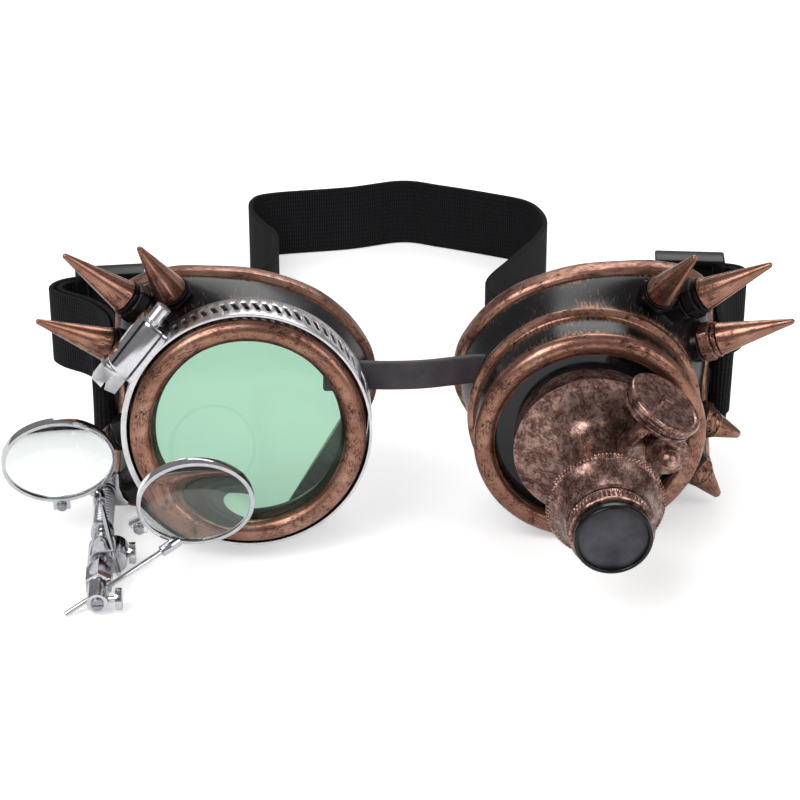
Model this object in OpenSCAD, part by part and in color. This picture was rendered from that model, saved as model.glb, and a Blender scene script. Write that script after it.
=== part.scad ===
// Steampunk goggles with a copper clamp, loupes and a side-mounted ocular.
// Millimetres. X is the viewer's right, Y runs away from the viewer, Z is up.
// Each eyecup has its own frame: u across, v up, a along the cup axis to the front.

/* [Placing] */
// Shift of the whole part in X
origin_x = 5.9; // [-10:0.1:20]
// Shift of the whole part in Y
origin_y = -88.6; // [-100:0.1:0]
// Shift of the whole part in Z
origin_z = 0.4; // [0:0.1:1]

/* [Eyecups] */
// Height of the left lens ring centre
left_z = 34.1; // [33.5:0.1:36]
// Height of the right lens ring centre
right_z = 29.2; // [28.8:0.1:31]
// Upward tilt of the left cup in degrees
left_pitch = 4.6; // [3:0.1:6]
// Upward tilt of the right cup in degrees
right_pitch = -4.4; // [-6:0.1:-3]
// How much smaller the clear opening of a lens ring is than the barrel
open_in = 4.2; // [4:0.1:5.2]
// How far a lens ring bead stands out from the barrel
bead_out = 1.05; // [0.6:0.05:1.2]
// How much smaller a lens is than the barrel
lens_in = 3.6; // [3.55:0.05:3.8]
// Thickness of a lens
lens_t = 2; // [1.6:0.1:2.2]
// How much smaller the threaded skirt of a lens ring is than the barrel
skirt_in = 2.1; // [2:0.05:2.4]
// Length of the threaded skirt
skirt_len = 6; // [5:0.5:6]
// Radial running clearance of turning parts
run_gap = 0.1; // [0.05:0.01:0.1]
// Gap between pieces that are seated on each other
seat_gap = 0.05; // [0.02:0.01:0.1]
// Outer radius of the cup barrel behind the lens ring
barrel_r = 28.2; // [27.8:0.1:28.4]
// Height of the copper ridge over the barrel
ridge_h = 1.7; // [1.4:0.05:1.7]
// Wall of the flared part of a cup
shell_wall = 2.2; // [1.8:0.1:2.6]
// Depth of the rear rim plane behind the ring
rim_depth = 33; // [32:0.5:34]
// How proud the rear bead stands
rim_proud = 1.4; // [1:0.1:1.6]

/* [Spikes] */
// Length of a long spike cone
spike_len = 20; // [14:0.5:24]
// Base radius of a long spike cone
spike_r = 4.25; // [3.8:0.05:4.5]
// Length of a short spike cone
stub_len = 8.5; // [6:0.5:10]
// Base radius of a short spike cone
stub_r = 3.6; // [3.2:0.1:4]
// Height of the seat boss above the cup wall
spike_seat = 2.3; // [2:0.1:3]
// Radius of the seat boss and of the collar ring over a nut
collar_r = 4.6; // [4.4:0.05:4.7]
// Height of the collar ring
collar_h = 1.2; // [1:0.1:1.5]
// Width across flats of a spike nut
nut_af = 9; // [8.6:0.1:9.2]
// Height of a spike nut
nut_h = 3.5; // [2.8:0.1:3.6]
// Radius of the screw that holds a spike
stud_r = 1.45; // [1.3:0.05:1.6]

/* [Clamp] */
// Room between the copper ridge and the clamp band
band_room = 0.1; // [0.1:0.05:0.3]
// Thickness of the clamp band
band_t = 0.7; // [0.6:0.05:0.7]
// Number of worm slots that show
band_slots = 20; // [12:1:22]
// Angle of the worm housing round the left cup
housing_at = 141.5; // [139:0.5:144]
// Radius of the worm screw
worm_r = 2.5; // [2.2:0.1:2.5]

/* [Ocular] */
// Radius of the ocular's base lip
bell_r = 19.7; // [19:0.1:20.5]
// Radius of the ocular's neck
neck_r = 6.8; // [6.4:0.1:7]
// Radius of the beaded flange
flange_r = 14.3; // [13.5:0.1:15]
// Radius of the knurled focus ring
focus_r = 10.2; // [9.8:0.1:10.6]
// Radius of the side disc
disc_r = 10; // [9:0.1:10]
// Number of knurl grooves on the focus ring
knurls = 36; // [24:1:40]

/* [Loupes] */
// Outer radius of a loupe rim
loupe_r = 14.3; // [13.8:0.1:14.5]
// Thickness of a loupe rim
loupe_t = 2; // [1.8:0.1:2.4]
// Radius of the long clip rod
rod_r = 1.5; // [1.3:0.05:1.55]
// Radius of a loupe arm
arm_r = 0.65; // [0.55:0.05:0.7]
// Radius of a thumb screw head
thumb_r = 2.7; // [2.3:0.1:3]
// Radius of the spring wire
wire_r = 0.45; // [0.4:0.01:0.47]
// Mean radius of the spring
coil_r = 2.25; // [2.15:0.05:2.4]
// Turns of the spring
coil_turns = 11; // [9:1:11]

/* [Straps] */
// Width of the elastic head strap
strap_w = 22; // [20:0.5:22]
// Thickness of the elastic head strap
strap_t = 1.5; // [1.2:0.1:1.5]
// Radius of a strap bar
bar_r = 1.15; // [1:0.05:1.15]
// Height of the nose strap
nose_w = 7.5; // [6:0.5:8]
// Thickness of the nose strap
nose_t = 2; // [1.6:0.1:2.2]
// Length of a strap slider
slider_l = 19; // [17:0.5:19]
// Height of a strap slider
slider_h = 27; // [26:0.5:28]

/* [Hidden] */
$fn = 72;

ring_open_r = barrel_r - open_in;
ring_bead_r = barrel_r + bead_out;
lens_r = barrel_r - lens_in;
skirt_r = barrel_r - skirt_in;
ridge_r = barrel_r + ridge_h;
band_r = ridge_r + band_room;
worm_at = band_r + 4.7;
left_c = [-43, 0, left_z];
right_c = [42.1, 7.2, right_z];
left_yaw = 1.7;
right_yaw = 2.6;
ring_top = 2.6;
ring_under = -1;
bore_floor = ring_under - skirt_len - 0.2;
lens_back = ring_under - 0.1 - lens_t;
lip_r = lens_r - 1.8;
lip_top = lens_back - 1.3;
bar_u = 38.4;
bar_a = -31;
ear_v = strap_w / 2 + 1.5;
stack_nut = spike_seat + seat_gap;
stack_collar = stack_nut + nut_h + seat_gap;
stack_cone = stack_collar + collar_h + seat_gap;

// Outline of the rear bead, temple side to +u, listed round from the nose
outline = [[-32.3, 1], [-31.5, 9], [-28.8, 15], [-24.2, 21], [-17.5, 26.4], [-9, 30.2],
    [0, 32.5], [10, 33.2], [19, 33.2], [28, 31], [33, 26.5], [34.5, 17], [34.5, 8],
    [34.2, 0], [35, -9], [36, -18], [36.5, -26], [33.5, -31], [25, -31.7], [12, -31.7],
    [0, -31.7], [-10, -31.4], [-15.8, -28.5], [-20.5, -21.5], [-27, -11], [-30.5, -5]];

// Each spike: foot depth, foot radius, foot angle, bearing, slope to the front, short or not
left_spike_list = [[-23, 30.9, 123.7, 113, 37, 0], [-20, 35.7, 135.7, 137.4, 17.4, 0],
    [-20, 32.9, 154.8, 151.5, 21.3, 0], [-20, 29.4, 191.6, 206.8, -4, 1]];
right_spike_list = [[-21, 31.2, 57.5, 69.6, 35.3, 0], [-20, 35.7, 47.4, 36.7, 18.4, 0],
    [-20, 31.8, 27.5, 23.7, 16.1, 0], [-20, 29.4, -11.6, -26.8, -4, 1],
    [-16.6, 32.4, -30.6, -52, 0, 1]];

// Depth, share of the outline, and inset from the bead line for the outside of a cup
outer_levels = [[-12.4, 0, rim_proud], [-14, 0.1, rim_proud], [-17, 0.33, rim_proud],
    [-20, 0.6, rim_proud], [-23, 0.83, rim_proud], [6.9 - rim_depth, 1, rim_proud],
    [6.7 - rim_depth, 1, rim_proud + 0.7], [6.3 - rim_depth, 1, rim_proud + 0.7],
    [6.1 - rim_depth, 1, 0.5], [5.4 - rim_depth, 1, 0], [1.2 - rim_depth, 1, 0],
    [0.4 - rim_depth, 1, 0.5], [-rim_depth, 1, 1.3]];
inner_levels = [[-12.4, 0, 0], [-14, 0.1, 0], [-17, 0.33, 0], [-20, 0.6, 0],
    [-23, 0.83, 0], [6.9 - rim_depth, 1, 0], [-rim_depth - 1, 1, 0]];

function spline(a, b, c, d, t) = 0.5 * (2 * b + (c - a) * t
    + (2 * a - 5 * b + 4 * c - d) * t * t + (3 * b - a - 3 * c + d) * t * t * t);
function loop_curve(p, k) = [for (i = [0:len(p) - 1]) for (j = [0:k - 1])
    spline(p[(i + len(p) - 1) % len(p)], p[i], p[(i + 1) % len(p)],
        p[(i + 2) % len(p)], j / k)];
function open_curve(p, k) = concat([for (i = [0:len(p) - 2]) for (j = [0:k - 1])
    spline(p[max(i - 1, 0)], p[i], p[i + 1], p[min(i + 2, len(p) - 1)], j / k)],
    [p[len(p) - 1]]);
function unit(v) = v / norm(v);
function axis_u(p, y) = [cos(y), sin(y), 0];
function axis_v(p, y) = [-sin(p) * sin(y), sin(p) * cos(y), cos(p)];
function axis_a(p, y) = [cos(p) * sin(y), -cos(p) * cos(y), sin(p)];
function in_world(c, p, y, q) = c + q[0] * axis_u(p, y) + q[1] * axis_v(p, y)
    + q[2] * axis_a(p, y);

function cup_ring(level, r, inset) = [for (q = loop_curve(outline, 2))
    let (far = q * (1 - (level[2] + inset) / norm(q)), near = r * unit(q),
        mix = near + level[1] * (far - near)) [mix[0], mix[1], level[0]]];

module world() {
    translate([origin_x, origin_y, origin_z]) children();
}

module cup_left() {
    world() translate(left_c) rotate([90 - left_pitch, 0, left_yaw]) children();
}

module cup_right() {
    world() translate(right_c) rotate([90 - right_pitch, 0, right_yaw]) children();
}

module at_spike(s) {
    translate([s[1] * cos(s[2]), s[1] * sin(s[2]), s[0]])
        rotate([0, 90 - s[4], s[3]]) children();
}

// A tube between two depths along the frame's own axis
module tube(r_out, r_in, z0, z1) {
    translate([0, 0, z0]) difference() {
        cylinder(r = r_out, h = z1 - z0);
        translate([0, 0, -1]) cylinder(r = r_in, h = z1 - z0 + 2);
    }
}

module rod(r, z0, z1) {
    translate([0, 0, z0]) cylinder(r = r, h = z1 - z0);
}

// Closed skin over rings of points that turn left as seen from the far end
module skin(rings) {
    n = len(rings);
    m = len(rings[0]);
    polyhedron(points = [for (q = rings) for (p = q) p],
        faces = concat(
            [for (i = [0:n - 2]) for (j = [0:m - 1])
                [i * m + j, (i + 1) * m + j, i * m + (j + 1) % m]],
            [for (i = [0:n - 2]) for (j = [0:m - 1])
                [i * m + (j + 1) % m, (i + 1) * m + j, (i + 1) * m + (j + 1) % m]],
            [[for (j = [0:m - 1]) j]],
            [[for (j = [m - 1:-1:0]) (n - 1) * m + j]]));
}

module cup_outside(extra) {
    skin([for (l = outer_levels) cup_ring(l, barrel_r + 0.6 + extra, -extra)]);
}

// The cup without bosses, temple side to +u
module cup_body() {
    difference() {
        union() {
            rotate_extrude() polygon([[barrel_r, -1.3], [barrel_r, -11.3],
                [ridge_r - 0.5, -11.3], [ridge_r, -11.9], [ridge_r, -12.9],
                [ridge_r - 0.5, -13.5], [barrel_r - 1.8, -13.5],
                [barrel_r - 1.8, bore_floor - 1.8],
                [lip_r, bore_floor - 1.8], [lip_r, lip_top], [lens_r, lip_top],
                [lens_r, bore_floor], [skirt_r + run_gap, bore_floor],
                [skirt_r + run_gap, -1.3]]);
            cup_outside(0);
            for (s = [-1, 1]) {
                translate([33.5, s * ear_v - 1.2, -rim_depth])
                    cube([bar_u - 33.5, 2.4, 4.6]);
                translate([bar_u, s * ear_v - 1.2, -rim_depth + 2.3])
                    rotate([-90, 0, 0]) cylinder(r = 2.3, h = 2.4);
            }
        }
        skin([for (l = inner_levels)
            cup_ring(l, barrel_r + 0.9 - shell_wall, rim_proud + shell_wall)]);
        translate([bar_u, 0, bar_a]) rotate([90, 0, 0])
            cylinder(r = bar_r + seat_gap, h = 40, center = true);
    }
}

module spike_bosses(list) {
    for (s = list) {
        at_spike(s) rod(collar_r + 0.1, -3.8, spike_seat);
        at_spike(s) rod(3.3, -5.8, -3);
    }
}

module spike_holes(list) {
    for (s = list) {
        at_spike(s) rod(stud_r + seat_gap, -12, 10);
        at_spike(s) rod(nut_af / 2 / cos(30) + 0.3, spike_seat, 12);
        at_spike(s) rod(3.1, -11, -5.8);
    }
}

module spike_cones(list) {
    for (s = list) at_spike(s) translate([0, 0, stack_cone]) difference() {
        cylinder(r1 = s[5] == 1 ? stub_r : spike_r, r2 = s[5] == 1 ? 0.9 : 0.6,
            h = s[5] == 1 ? stub_len : spike_len);
        translate([0, 0, -1]) cylinder(r = stud_r + seat_gap, h = 4.6);
    }
}

module spike_nuts(list) {
    for (s = list) at_spike(s) translate([0, 0, stack_nut]) difference() {
        cylinder(d = nut_af / cos(30), h = nut_h, $fn = 6);
        translate([0, 0, -1]) cylinder(r = stud_r + seat_gap, h = nut_h + 2);
    }
}

module spike_collars(list) {
    for (s = list) at_spike(s) tube(collar_r, stud_r + seat_gap, stack_collar,
        stack_collar + collar_h);
}

module spike_screws(list) {
    for (s = list) at_spike(s) {
        rod(stud_r, -6, stack_cone + 3.2);
        difference() {
            rod(2.7, -7.3, -5.8 - seat_gap);
            translate([-3, -0.4, -8]) cube([6, 0.8, 1.5]);
        }
    }
}

// Left eyecup

module left_cup_shell() {
    color("#4a3630") difference() {
        cup_left() union() {
            mirror([1, 0, 0]) cup_body();
            spike_bosses(left_spike_list);
        }
        cup_left() spike_holes(left_spike_list);
        nose_ribbon(0.3);
    }
}

module lens_ring_shape() {
    rotate_extrude() polygon([[ring_open_r, ring_under], [ring_open_r, 1.3],
        [ring_open_r + 0.5, 2.2], [ring_open_r + 1.5, ring_top],
        [ring_bead_r - 1.8, ring_top], [ring_bead_r - 0.6, 2.1], [ring_bead_r, 1.1],
        [ring_bead_r, 0], [ring_bead_r - 0.4, -0.7], [ring_bead_r - 1, ring_under],
        [skirt_r, ring_under], [skirt_r, ring_under - skirt_len],
        [lens_r + 0.2, ring_under - skirt_len], [lens_r + 0.2, ring_under]]);
}

module left_lens() {
    color("#bfe5cc") cup_left() rod(lens_r, lens_back, lens_back + lens_t);
}

module left_lens_ring() {
    color("#b8735a") cup_left() lens_ring_shape();
}

module left_lens_gasket() {
    color("#222222") cup_left() tube(lens_r, lip_r, lip_top + seat_gap,
        lens_back - seat_gap);
}

module left_spikes() {
    color("#b0705a") cup_left() spike_cones(left_spike_list);
}

module left_spike_nuts() {
    color("#a06a4a") cup_left() spike_nuts(left_spike_list);
}

module left_spike_collars() {
    color("#241f20") cup_left() spike_collars(left_spike_list);
}

module left_spike_screws() {
    color("#6a6a70") cup_left() spike_screws(left_spike_list);
}

// Worm-drive clamp round the left cup

module at_housing() {
    rotate([0, 0, housing_at - 90]) children();
}

module clamp_band() {
    color("#c8c8cc") cup_left() difference() {
        union() {
            tube(band_r + band_t, band_r, -12.3, 0.4);
            intersection() {
                tube(band_r + 2 * band_t, band_r + band_t, -12.3, 0.4);
                rotate([0, 0, housing_at + 8])
                    translate([0, 0, -20]) cube([60, 60, 40]);
            }
        }
        for (i = [0:band_slots - 1])
            rotate([0, 0, housing_at - 17 - i * 4.9])
                translate([band_r, 0, -6]) rotate([16, 0, 0])
                    cube([4, 1.2, 5.4], center = true);
        rotate([0, 0, housing_at - 23 - band_slots * 4.9])
            translate([band_r, 0, -6]) cube([4, 3.4, 7], center = true);
    }
}

module clamp_housing() {
    color("#c0c0c6") cup_left() difference() {
        at_housing() union() {
            translate([-7.5, band_r, -12]) cube([15, 4.6, 12]);
            translate([-7.5, worm_at, -6]) rotate([0, 90, 0]) cylinder(r = 3.6, h = 15);
        }
        translate([0, 0, -14]) cylinder(r = band_r + 2 * band_t + seat_gap, h = 16);
        at_housing() translate([-9, worm_at, -6]) rotate([0, 90, 0])
            cylinder(r = worm_r + run_gap, h = 18);
    }
}

module clamp_screw() {
    color("#b8b8be") cup_left() at_housing() translate([0, worm_at, -6])
        rotate([0, 90, 0]) difference() {
            union() {
                rod(worm_r, -8, 7.6);
                rod(2, 7.6, 11.5);
                rod(4.2, -8.9, -7.8);
                translate([0, 0, -13.6]) cylinder(d = 7 / cos(30), h = 4.7, $fn = 6);
            }
            translate([-5, -0.5, -14]) cube([10, 1, 2.2]);
        }
}

// Right eyecup

module right_cup_shell() {
    color("#4a3630") difference() {
        cup_right() union() {
            cup_body();
            spike_bosses(right_spike_list);
        }
        cup_right() spike_holes(right_spike_list);
        nose_ribbon(0.3);
    }
}

module right_lens() {
    color("#2a2c32") cup_right() rod(lens_r, lens_back, lens_back + lens_t);
}

module right_lens_ring() {
    color("#b8735a") cup_right() lens_ring_shape();
}

module right_lens_gasket() {
    color("#222222") cup_right() tube(lens_r, lip_r, lip_top + seat_gap,
        lens_back - seat_gap);
}

module right_spikes() {
    color("#b0705a") cup_right() spike_cones(right_spike_list);
}

module right_spike_nuts() {
    color("#a06a4a") cup_right() spike_nuts(right_spike_list);
}

module right_spike_collars() {
    color("#241f20") cup_right() spike_collars(right_spike_list);
}

module right_spike_screws() {
    color("#6a6a70") cup_right() spike_screws(right_spike_list);
}

// Ocular on the right lens

function bell_side(g) = [[bell_r - 0.7 + g, ring_under - 0.05], [bell_r - 0.7 + g, 4.8],
    [bell_r + g, 4.8], [bell_r + g, 5.8 + g], [17.5 + g, 6.1 + g], [15 + g, 7 + g],
    [11 + g, 8.8 + g], [8.6 + g, 11 + g], [7.2 + g, 14], [neck_r + g, 18],
    [neck_r + g, 26], [neck_r + 0.4 + g, 28], [8 + g, 29.5], [12 + g, 31],
    [flange_r - 0.6 + g, 31.4], [flange_r + g, 32], [flange_r + g, 32.8],
    [flange_r - 0.6 + g, 33.4], [12 + g, 35.5], [11 + g, 38], [10.6 + g, 40.7]];

module bell_space() {
    rotate_extrude() polygon(concat(bell_side(0.1), [[0, 40.7], [0, -1]]));
}

module ocular_bell() {
    color("#7a4f48") cup_right() rotate_extrude()
        polygon(concat(bell_side(0), [[8.6, 40.7], [8.6, 34.5], [5.6, 34.5],
            [5.6, 13], [7.5, 9.8], [10, 7.4], [14, 5.2], [17.8, 4.2],
            [17.8, ring_under - 0.05]]));
}

module focus_ring() {
    color("#8a5a50") cup_right() difference() {
        rotate_extrude() polygon([[8, 36], [8.5, 36], [8.5, 41], [focus_r - 0.3, 41],
            [focus_r, 41.3], [focus_r, 44.7], [focus_r - 0.3, 45], [8, 45]]);
        for (i = [0:knurls - 1]) rotate([0, 0, i * 360 / knurls])
            translate([focus_r - 0.35, -0.3, 41.6]) cube([1, 0.6, 2.8]);
    }
}

module eyepiece_rim() {
    color("#2a2a2c") cup_right() rotate_extrude() polygon([[7.1, 35.5], [7.9, 35.5],
        [7.9, 45.2], [9.3, 45.2], [9.45, 46], [9.45, 47.4], [9.2, 48.1], [8.3, 48.1],
        [8.3, 46.2], [7.1, 46.2]]);
}

module eyepiece_lens() {
    color("#5a5a62") cup_right() rod(8.25, 46.25, 47.2);
}

module at_disc() {
    cup_right() translate([16.3, 17.5, 14]) rotate([0, 81, 59]) children();
}

module side_disc() {
    color("#8a5a50") at_disc() difference() {
        union() {
            rod(disc_r, -1.6, -0.4);
            rod(disc_r - 0.6, -0.4, 0);
        }
        rod(2 + run_gap, -3, 2);
        translate([2.6, -0.7, -0.7]) cube([5, 1.4, 2]);
    }
}

module side_drum() {
    color("#6a4540") at_disc() difference() {
        union() {
            rod(disc_r - 0.4, -2.7, -1.7);
            rod(disc_r - 1, -3.2, -2.7);
            rod(disc_r - 0.4, -4.2, -3.2);
        }
        rod(2 + seat_gap, -6, 2);
    }
}

module disc_arbor() {
    color("#5a4a48") at_disc() union() {
        rod(2, -4.3, 0.5);
        rod(3.4, -6.5, -4.25);
        translate([-1.2, -1.2, 0.4]) cube([2.4, 2.4, 1]);
    }
}

module drum_strut() {
    color("#7a4f48") difference() {
        cup_right() rotate([0, 0, 44]) translate([7, -0.7, 11.3]) cube([12, 1.4, 5.4]);
        at_disc() translate([-20, -20, -6.5 - seat_gap]) cube(40);
        cup_right() bell_space();
    }
}

module side_post() {
    color("#7a4f48") difference() {
        cup_right() translate([16.6, 5, 0]) union() {
            rod(4.9, 6, 9.4);
            rod(4.5, 9.4, 10);
            rod(4.9, 10, 13.4);
            rod(4.5, 13.4, 14);
            rod(4.9, 14, 17);
            rod(5.4, 17, 18.2);
            rod(1.2, 18.2, 21.4);
        }
        cup_right() bell_space();
    }
}

module post_nut() {
    color("#c08a5a") cup_right() translate([16.6, 5, 0]) difference() {
        union() {
            rod(2.9, 18.2 + seat_gap, 20.6);
            intersection() {
                translate([0, 0, 20.2]) sphere(r = 2.8);
                rod(2.9, 20.6, 23);
            }
        }
        rod(1.2 + seat_gap, 17, 21.5);
    }
}

// Clip, rod, spring and loupes

rod_tip = [-78.4, -30.8, 2.9];
rod_az = 94.3;
rod_el = 3.15;
rod_dir = [cos(rod_el) * cos(rod_az), cos(rod_el) * sin(rod_az), sin(rod_el)];
coil_z0 = 33.6;
coil_z1 = rim_depth + 18.4;
arm_1_at = [-77.3, -8.6, 7];
arm_1_az = 105.1;
arm_1_el = 10.1;
arm_1_len = 21;
arm_2_at = rod_tip + 4.8 * rod_dir;
arm_2_az = 34.7;
arm_2_el = 18.1;
arm_2_len = 22.9;
loupe_1_c = [-91.4, 6.3, 22.9];
loupe_2_c = [-55.1, -16.7, 23.3];

// Along the rod: x to the right, y down, z the distance from the near tip
module at_rod() {
    world() translate(rod_tip) rotate([0, 90 - rod_el, rod_az]) rotate([0, 0, -90])
        children();
}

module at_arm_1() {
    world() translate(arm_1_at) rotate([0, 90 - arm_1_el, arm_1_az]) children();
}

module at_arm_2() {
    world() translate(arm_2_at) rotate([0, 90 - arm_2_el, arm_2_az]) children();
}

module at_loupe_1() {
    world() translate(loupe_1_c) rotate([110, 0, 9.6]) children();
}

module at_loupe_2() {
    world() translate(loupe_2_c) rotate([109, 0, 5.8]) children();
}

module clip_rod() {
    color("#c8c8cc") at_rod() rod(rod_r, 9, rim_depth + 33);
}

module rod_collar() {
    color("#b8b8be") at_rod() tube(3, rod_r + 0.02, 31.8, coil_z0 - seat_gap);
}

// Path of the spring wire: straight foot, bend, turns, bend, straight foot
bend_r = 0.8;
coil_low = coil_z0 + 2 * wire_r + bend_r;
coil_high = coil_z1 - 2 * wire_r - bend_r;
bend_turn = bend_r / coil_r * 180 / PI;
function on_coil(t, z) = [coil_r * cos(t), coil_r * sin(t), z];
coil_path = concat(
    [on_coil(0, coil_z0), on_coil(0, coil_z0 + wire_r)],
    [for (b = [0:22.5:67.5]) on_coil(bend_turn * (1 - cos(b)),
        coil_low - bend_r + bend_r * sin(b))],
    [for (i = [0:8 * coil_turns]) on_coil(bend_turn + i * 45,
        coil_low + (coil_high - coil_low) * i / (8 * coil_turns))],
    [for (b = [67.5:-22.5:0]) on_coil(bend_turn + 360 * coil_turns
        + bend_turn * cos(b), coil_high + bend_r - bend_r * sin(b))],
    [on_coil(2 * bend_turn + 360 * coil_turns, coil_z1 - wire_r),
        on_coil(2 * bend_turn + 360 * coil_turns, coil_z1)]);
function tangent(p, i) = unit(p[min(i + 1, len(p) - 1)] - p[max(i - 1, 0)]);
function wire_ring(p, i) = let (t = tangent(p, i), out = unit([p[i][0], p[i][1], 0]),
    n = unit(out - (out * t) * t), b = cross(t, n))
    [for (k = [0:5]) p[i] + wire_r * (cos(60 * k) * n + sin(60 * k) * b)];
coil_gap = min([for (i = [0:len(coil_path) - 9]) for (j = [i + 6:len(coil_path) - 1])
    norm(coil_path[j] - coil_path[i])]) - 2 * wire_r;
echo(coil_gap = coil_gap);

module clip_spring() {
    color("#d0d0d4") at_rod()
        skin([for (i = [0:len(coil_path) - 1]) wire_ring(coil_path, i)]);
}

// Plates that grip the rim's lower temple corner, in the cup's frame, temple to +u
module jaw_plate(a0, a1) {
    translate([33, -30, a0]) cube([9, 8.8, a1 - a0]);
}

module sliding_jaw() {
    color("#c0c0c6") difference() {
        union() {
            cup_left() mirror([1, 0, 0]) jaw_plate(6.3 - rim_depth, 8.3 - rim_depth);
            at_rod() rod(3, coil_z1 + seat_gap, coil_z1 + 3.6);
        }
        at_rod() rod(rod_r + run_gap, coil_z1 - 10, coil_z1 + 10);
        cup_left() mirror([1, 0, 0]) cup_outside(0.8);
    }
}

module fixed_jaw() {
    color("#c0c0c6") difference() {
        cup_left() mirror([1, 0, 0])
            jaw_plate(-2.3 - rim_depth, -0.1 - rim_depth);
        at_rod() rod(rod_r + 0.02, coil_z1, coil_z1 + 20);
    }
}

module jaw_nut() {
    color("#b8b8be") at_rod() difference() {
        translate([0, 0, coil_z1 + 12.8]) cylinder(d = 5.5 / cos(30), h = 2.4, $fn = 6);
        rod(rod_r + 0.02, coil_z1 + 8, coil_z1 + 18);
    }
}

module block_1() {
    color("#c4c4ca") difference() {
        at_rod() union() {
            translate([0, -3.2, 18.5]) cube([3.5, 6.4, 7.6]);
            rod(3.2, 18.5, 26.1);
            translate([3.5, 0, 0]) rod(3.2, 18.5, 26.1);
        }
        at_rod() rod(rod_r + run_gap, 10, 30);
        at_arm_1() rod(arm_r + run_gap, -20, 20);
        at_rod() translate([4, 0, 22.6]) rotate([0, 90, 0])
            cylinder(r = 1 + run_gap, h = 6);
    }
}

module thumb_screw_1() {
    color("#d0d0d4") at_rod() translate([0, 0, 22.6]) rotate([0, 90, 0])
        union() {
            rod(1, 4.2, 7.2);
            rod(thumb_r, 7, 8.6);
        }
}

module arm_1() {
    color("#c8c8cc") at_arm_1() rod(arm_r, -12, arm_1_len);
}

module loupe_ring() {
    rotate_extrude() polygon([[loupe_r, -loupe_t / 2], [loupe_r, loupe_t / 2],
        [loupe_r - 1, loupe_t / 2], [loupe_r - 1, 0.65], [loupe_r - 0.6, 0.65],
        [loupe_r - 0.6, -0.65], [loupe_r - 1, -0.65], [loupe_r - 1, -loupe_t / 2]]);
}

module loupe_glass() {
    rod(loupe_r - 0.65, -0.6, 0.6);
}

// Lug outside a loupe rim at an angle, with its own width
module rim_lug(at, r1, w) {
    rotate([0, 0, at]) translate([loupe_r - 0.5, -w / 2, -loupe_t / 2])
        cube([r1 - loupe_r + 0.5, w, loupe_t]);
}

module loupe_rim_1() {
    color("#d0d0d4") difference() {
        union() {
            at_loupe_1() loupe_ring();
            at_loupe_1() rim_lug(-90, 17.2, 4.4);
            at_loupe_1() rim_lug(-55, 15.4, 2.6);
            at_arm_1() rod(1.5, arm_1_len - 3.2, arm_1_len + 1);
        }
        at_arm_1() rod(arm_r + run_gap, arm_1_len - 6, arm_1_len + 0.2);
        at_loupe_1() rotate([0, 0, -90]) translate([15.9, 0, 0]) rod(0.75, -3, 3);
        at_loupe_1() rod(loupe_r - 0.6, -0.65, 0.65);
    }
}

module loupe_lens_1() {
    color("#e8eef0") at_loupe_1() loupe_glass();
}

module rim_lock_1() {
    color("#a8a8ae") at_loupe_1() rotate([0, 0, -90]) translate([15.9, 0, 0]) union() {
        rod(0.7, -1, 1.2);
        rod(1.2, loupe_t / 2 + seat_gap, loupe_t / 2 + 0.8);
    }
}

module block_2() {
    color("#c4c4ca") difference() {
        at_rod() union() {
            rod(2.6, 0, 8.2);
            translate([0, 0, 8]) rotate([0, 0, 30])
                cylinder(d = 6.2 / cos(30), h = 7, $fn = 6);
        }
        at_rod() rod(rod_r + run_gap, 8.9, 20);
        at_rod() rod(0.95, -1, 2.6);
        at_arm_2() rod(arm_r + run_gap, -20, 20);
        at_rod() translate([1.4, 0, 1.9]) rotate([0, 90, 0])
            cylinder(r = 0.8 + run_gap, h = 6);
    }
}

module thumb_screw_2() {
    color("#d0d0d4") at_rod() translate([0, 0, 1.9]) rotate([0, 90, 0]) union() {
        rod(0.8, 1.5, 4.4);
        rod(thumb_r, 4.3, 5.9);
    }
}

module end_screw_2() {
    color("#b8b8be") at_rod() difference() {
        union() {
            rod(0.9, 0, 0.9);
            rod(1.6, -0.7, -seat_gap);
            rod(0.9, -0.2, 0.1);
        }
        translate([-3, -0.25, -1]) cube([6, 0.5, 0.6]);
    }
}

module arm_2() {
    color("#c8c8cc") at_arm_2() rod(arm_r, -9.5, arm_2_len);
}

module loupe_rim_2() {
    color("#d0d0d4") difference() {
        union() {
            at_loupe_2() loupe_ring();
            at_loupe_2() rim_lug(208, 17.4, 4.6);
            at_arm_2() rod(1.4, arm_2_len - 4, arm_2_len + 1);
        }
        at_arm_2() rod(arm_r + run_gap, arm_2_len - 6, arm_2_len + 0.2);
        at_loupe_2() rotate([0, 0, 208]) translate([16, 0, 0]) rod(0.75, -3, 3);
        at_loupe_2() rod(loupe_r - 0.6, -0.65, 0.65);
    }
}

module loupe_lens_2() {
    color("#e8eef0") at_loupe_2() loupe_glass();
}

module rim_lock_2() {
    color("#a8a8ae") at_loupe_2() rotate([0, 0, 208]) translate([16, 0, 0]) union() {
        rod(0.7, -1, 1.2);
        rod(1.2, loupe_t / 2 + seat_gap, loupe_t / 2 + 0.8);
    }
}

// Straps

nose_line = open_curve([[-22.5, 17.2], [-15.5, 17.3], [-8, 17], [0, 17.6], [7, 19.3],
    [13.4, 21.1], [20.4, 21.3]], 3);
nose_z = 41.6;
function flat_normal(p, i) = let (t = tangent(p, i)) [-t[1], t[0]];

module nose_ribbon(grow) {
    world() translate([0, 0, nose_z - nose_w / 2 - grow])
        linear_extrude(height = nose_w + 2 * grow) polygon(concat(
            [for (i = [0:len(nose_line) - 1])
                nose_line[i] + (nose_t / 2 + grow) * flat_normal(nose_line, i)],
            [for (i = [len(nose_line) - 1:-1:0])
                nose_line[i] - (nose_t / 2 + grow) * flat_normal(nose_line, i)]));
}

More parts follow.
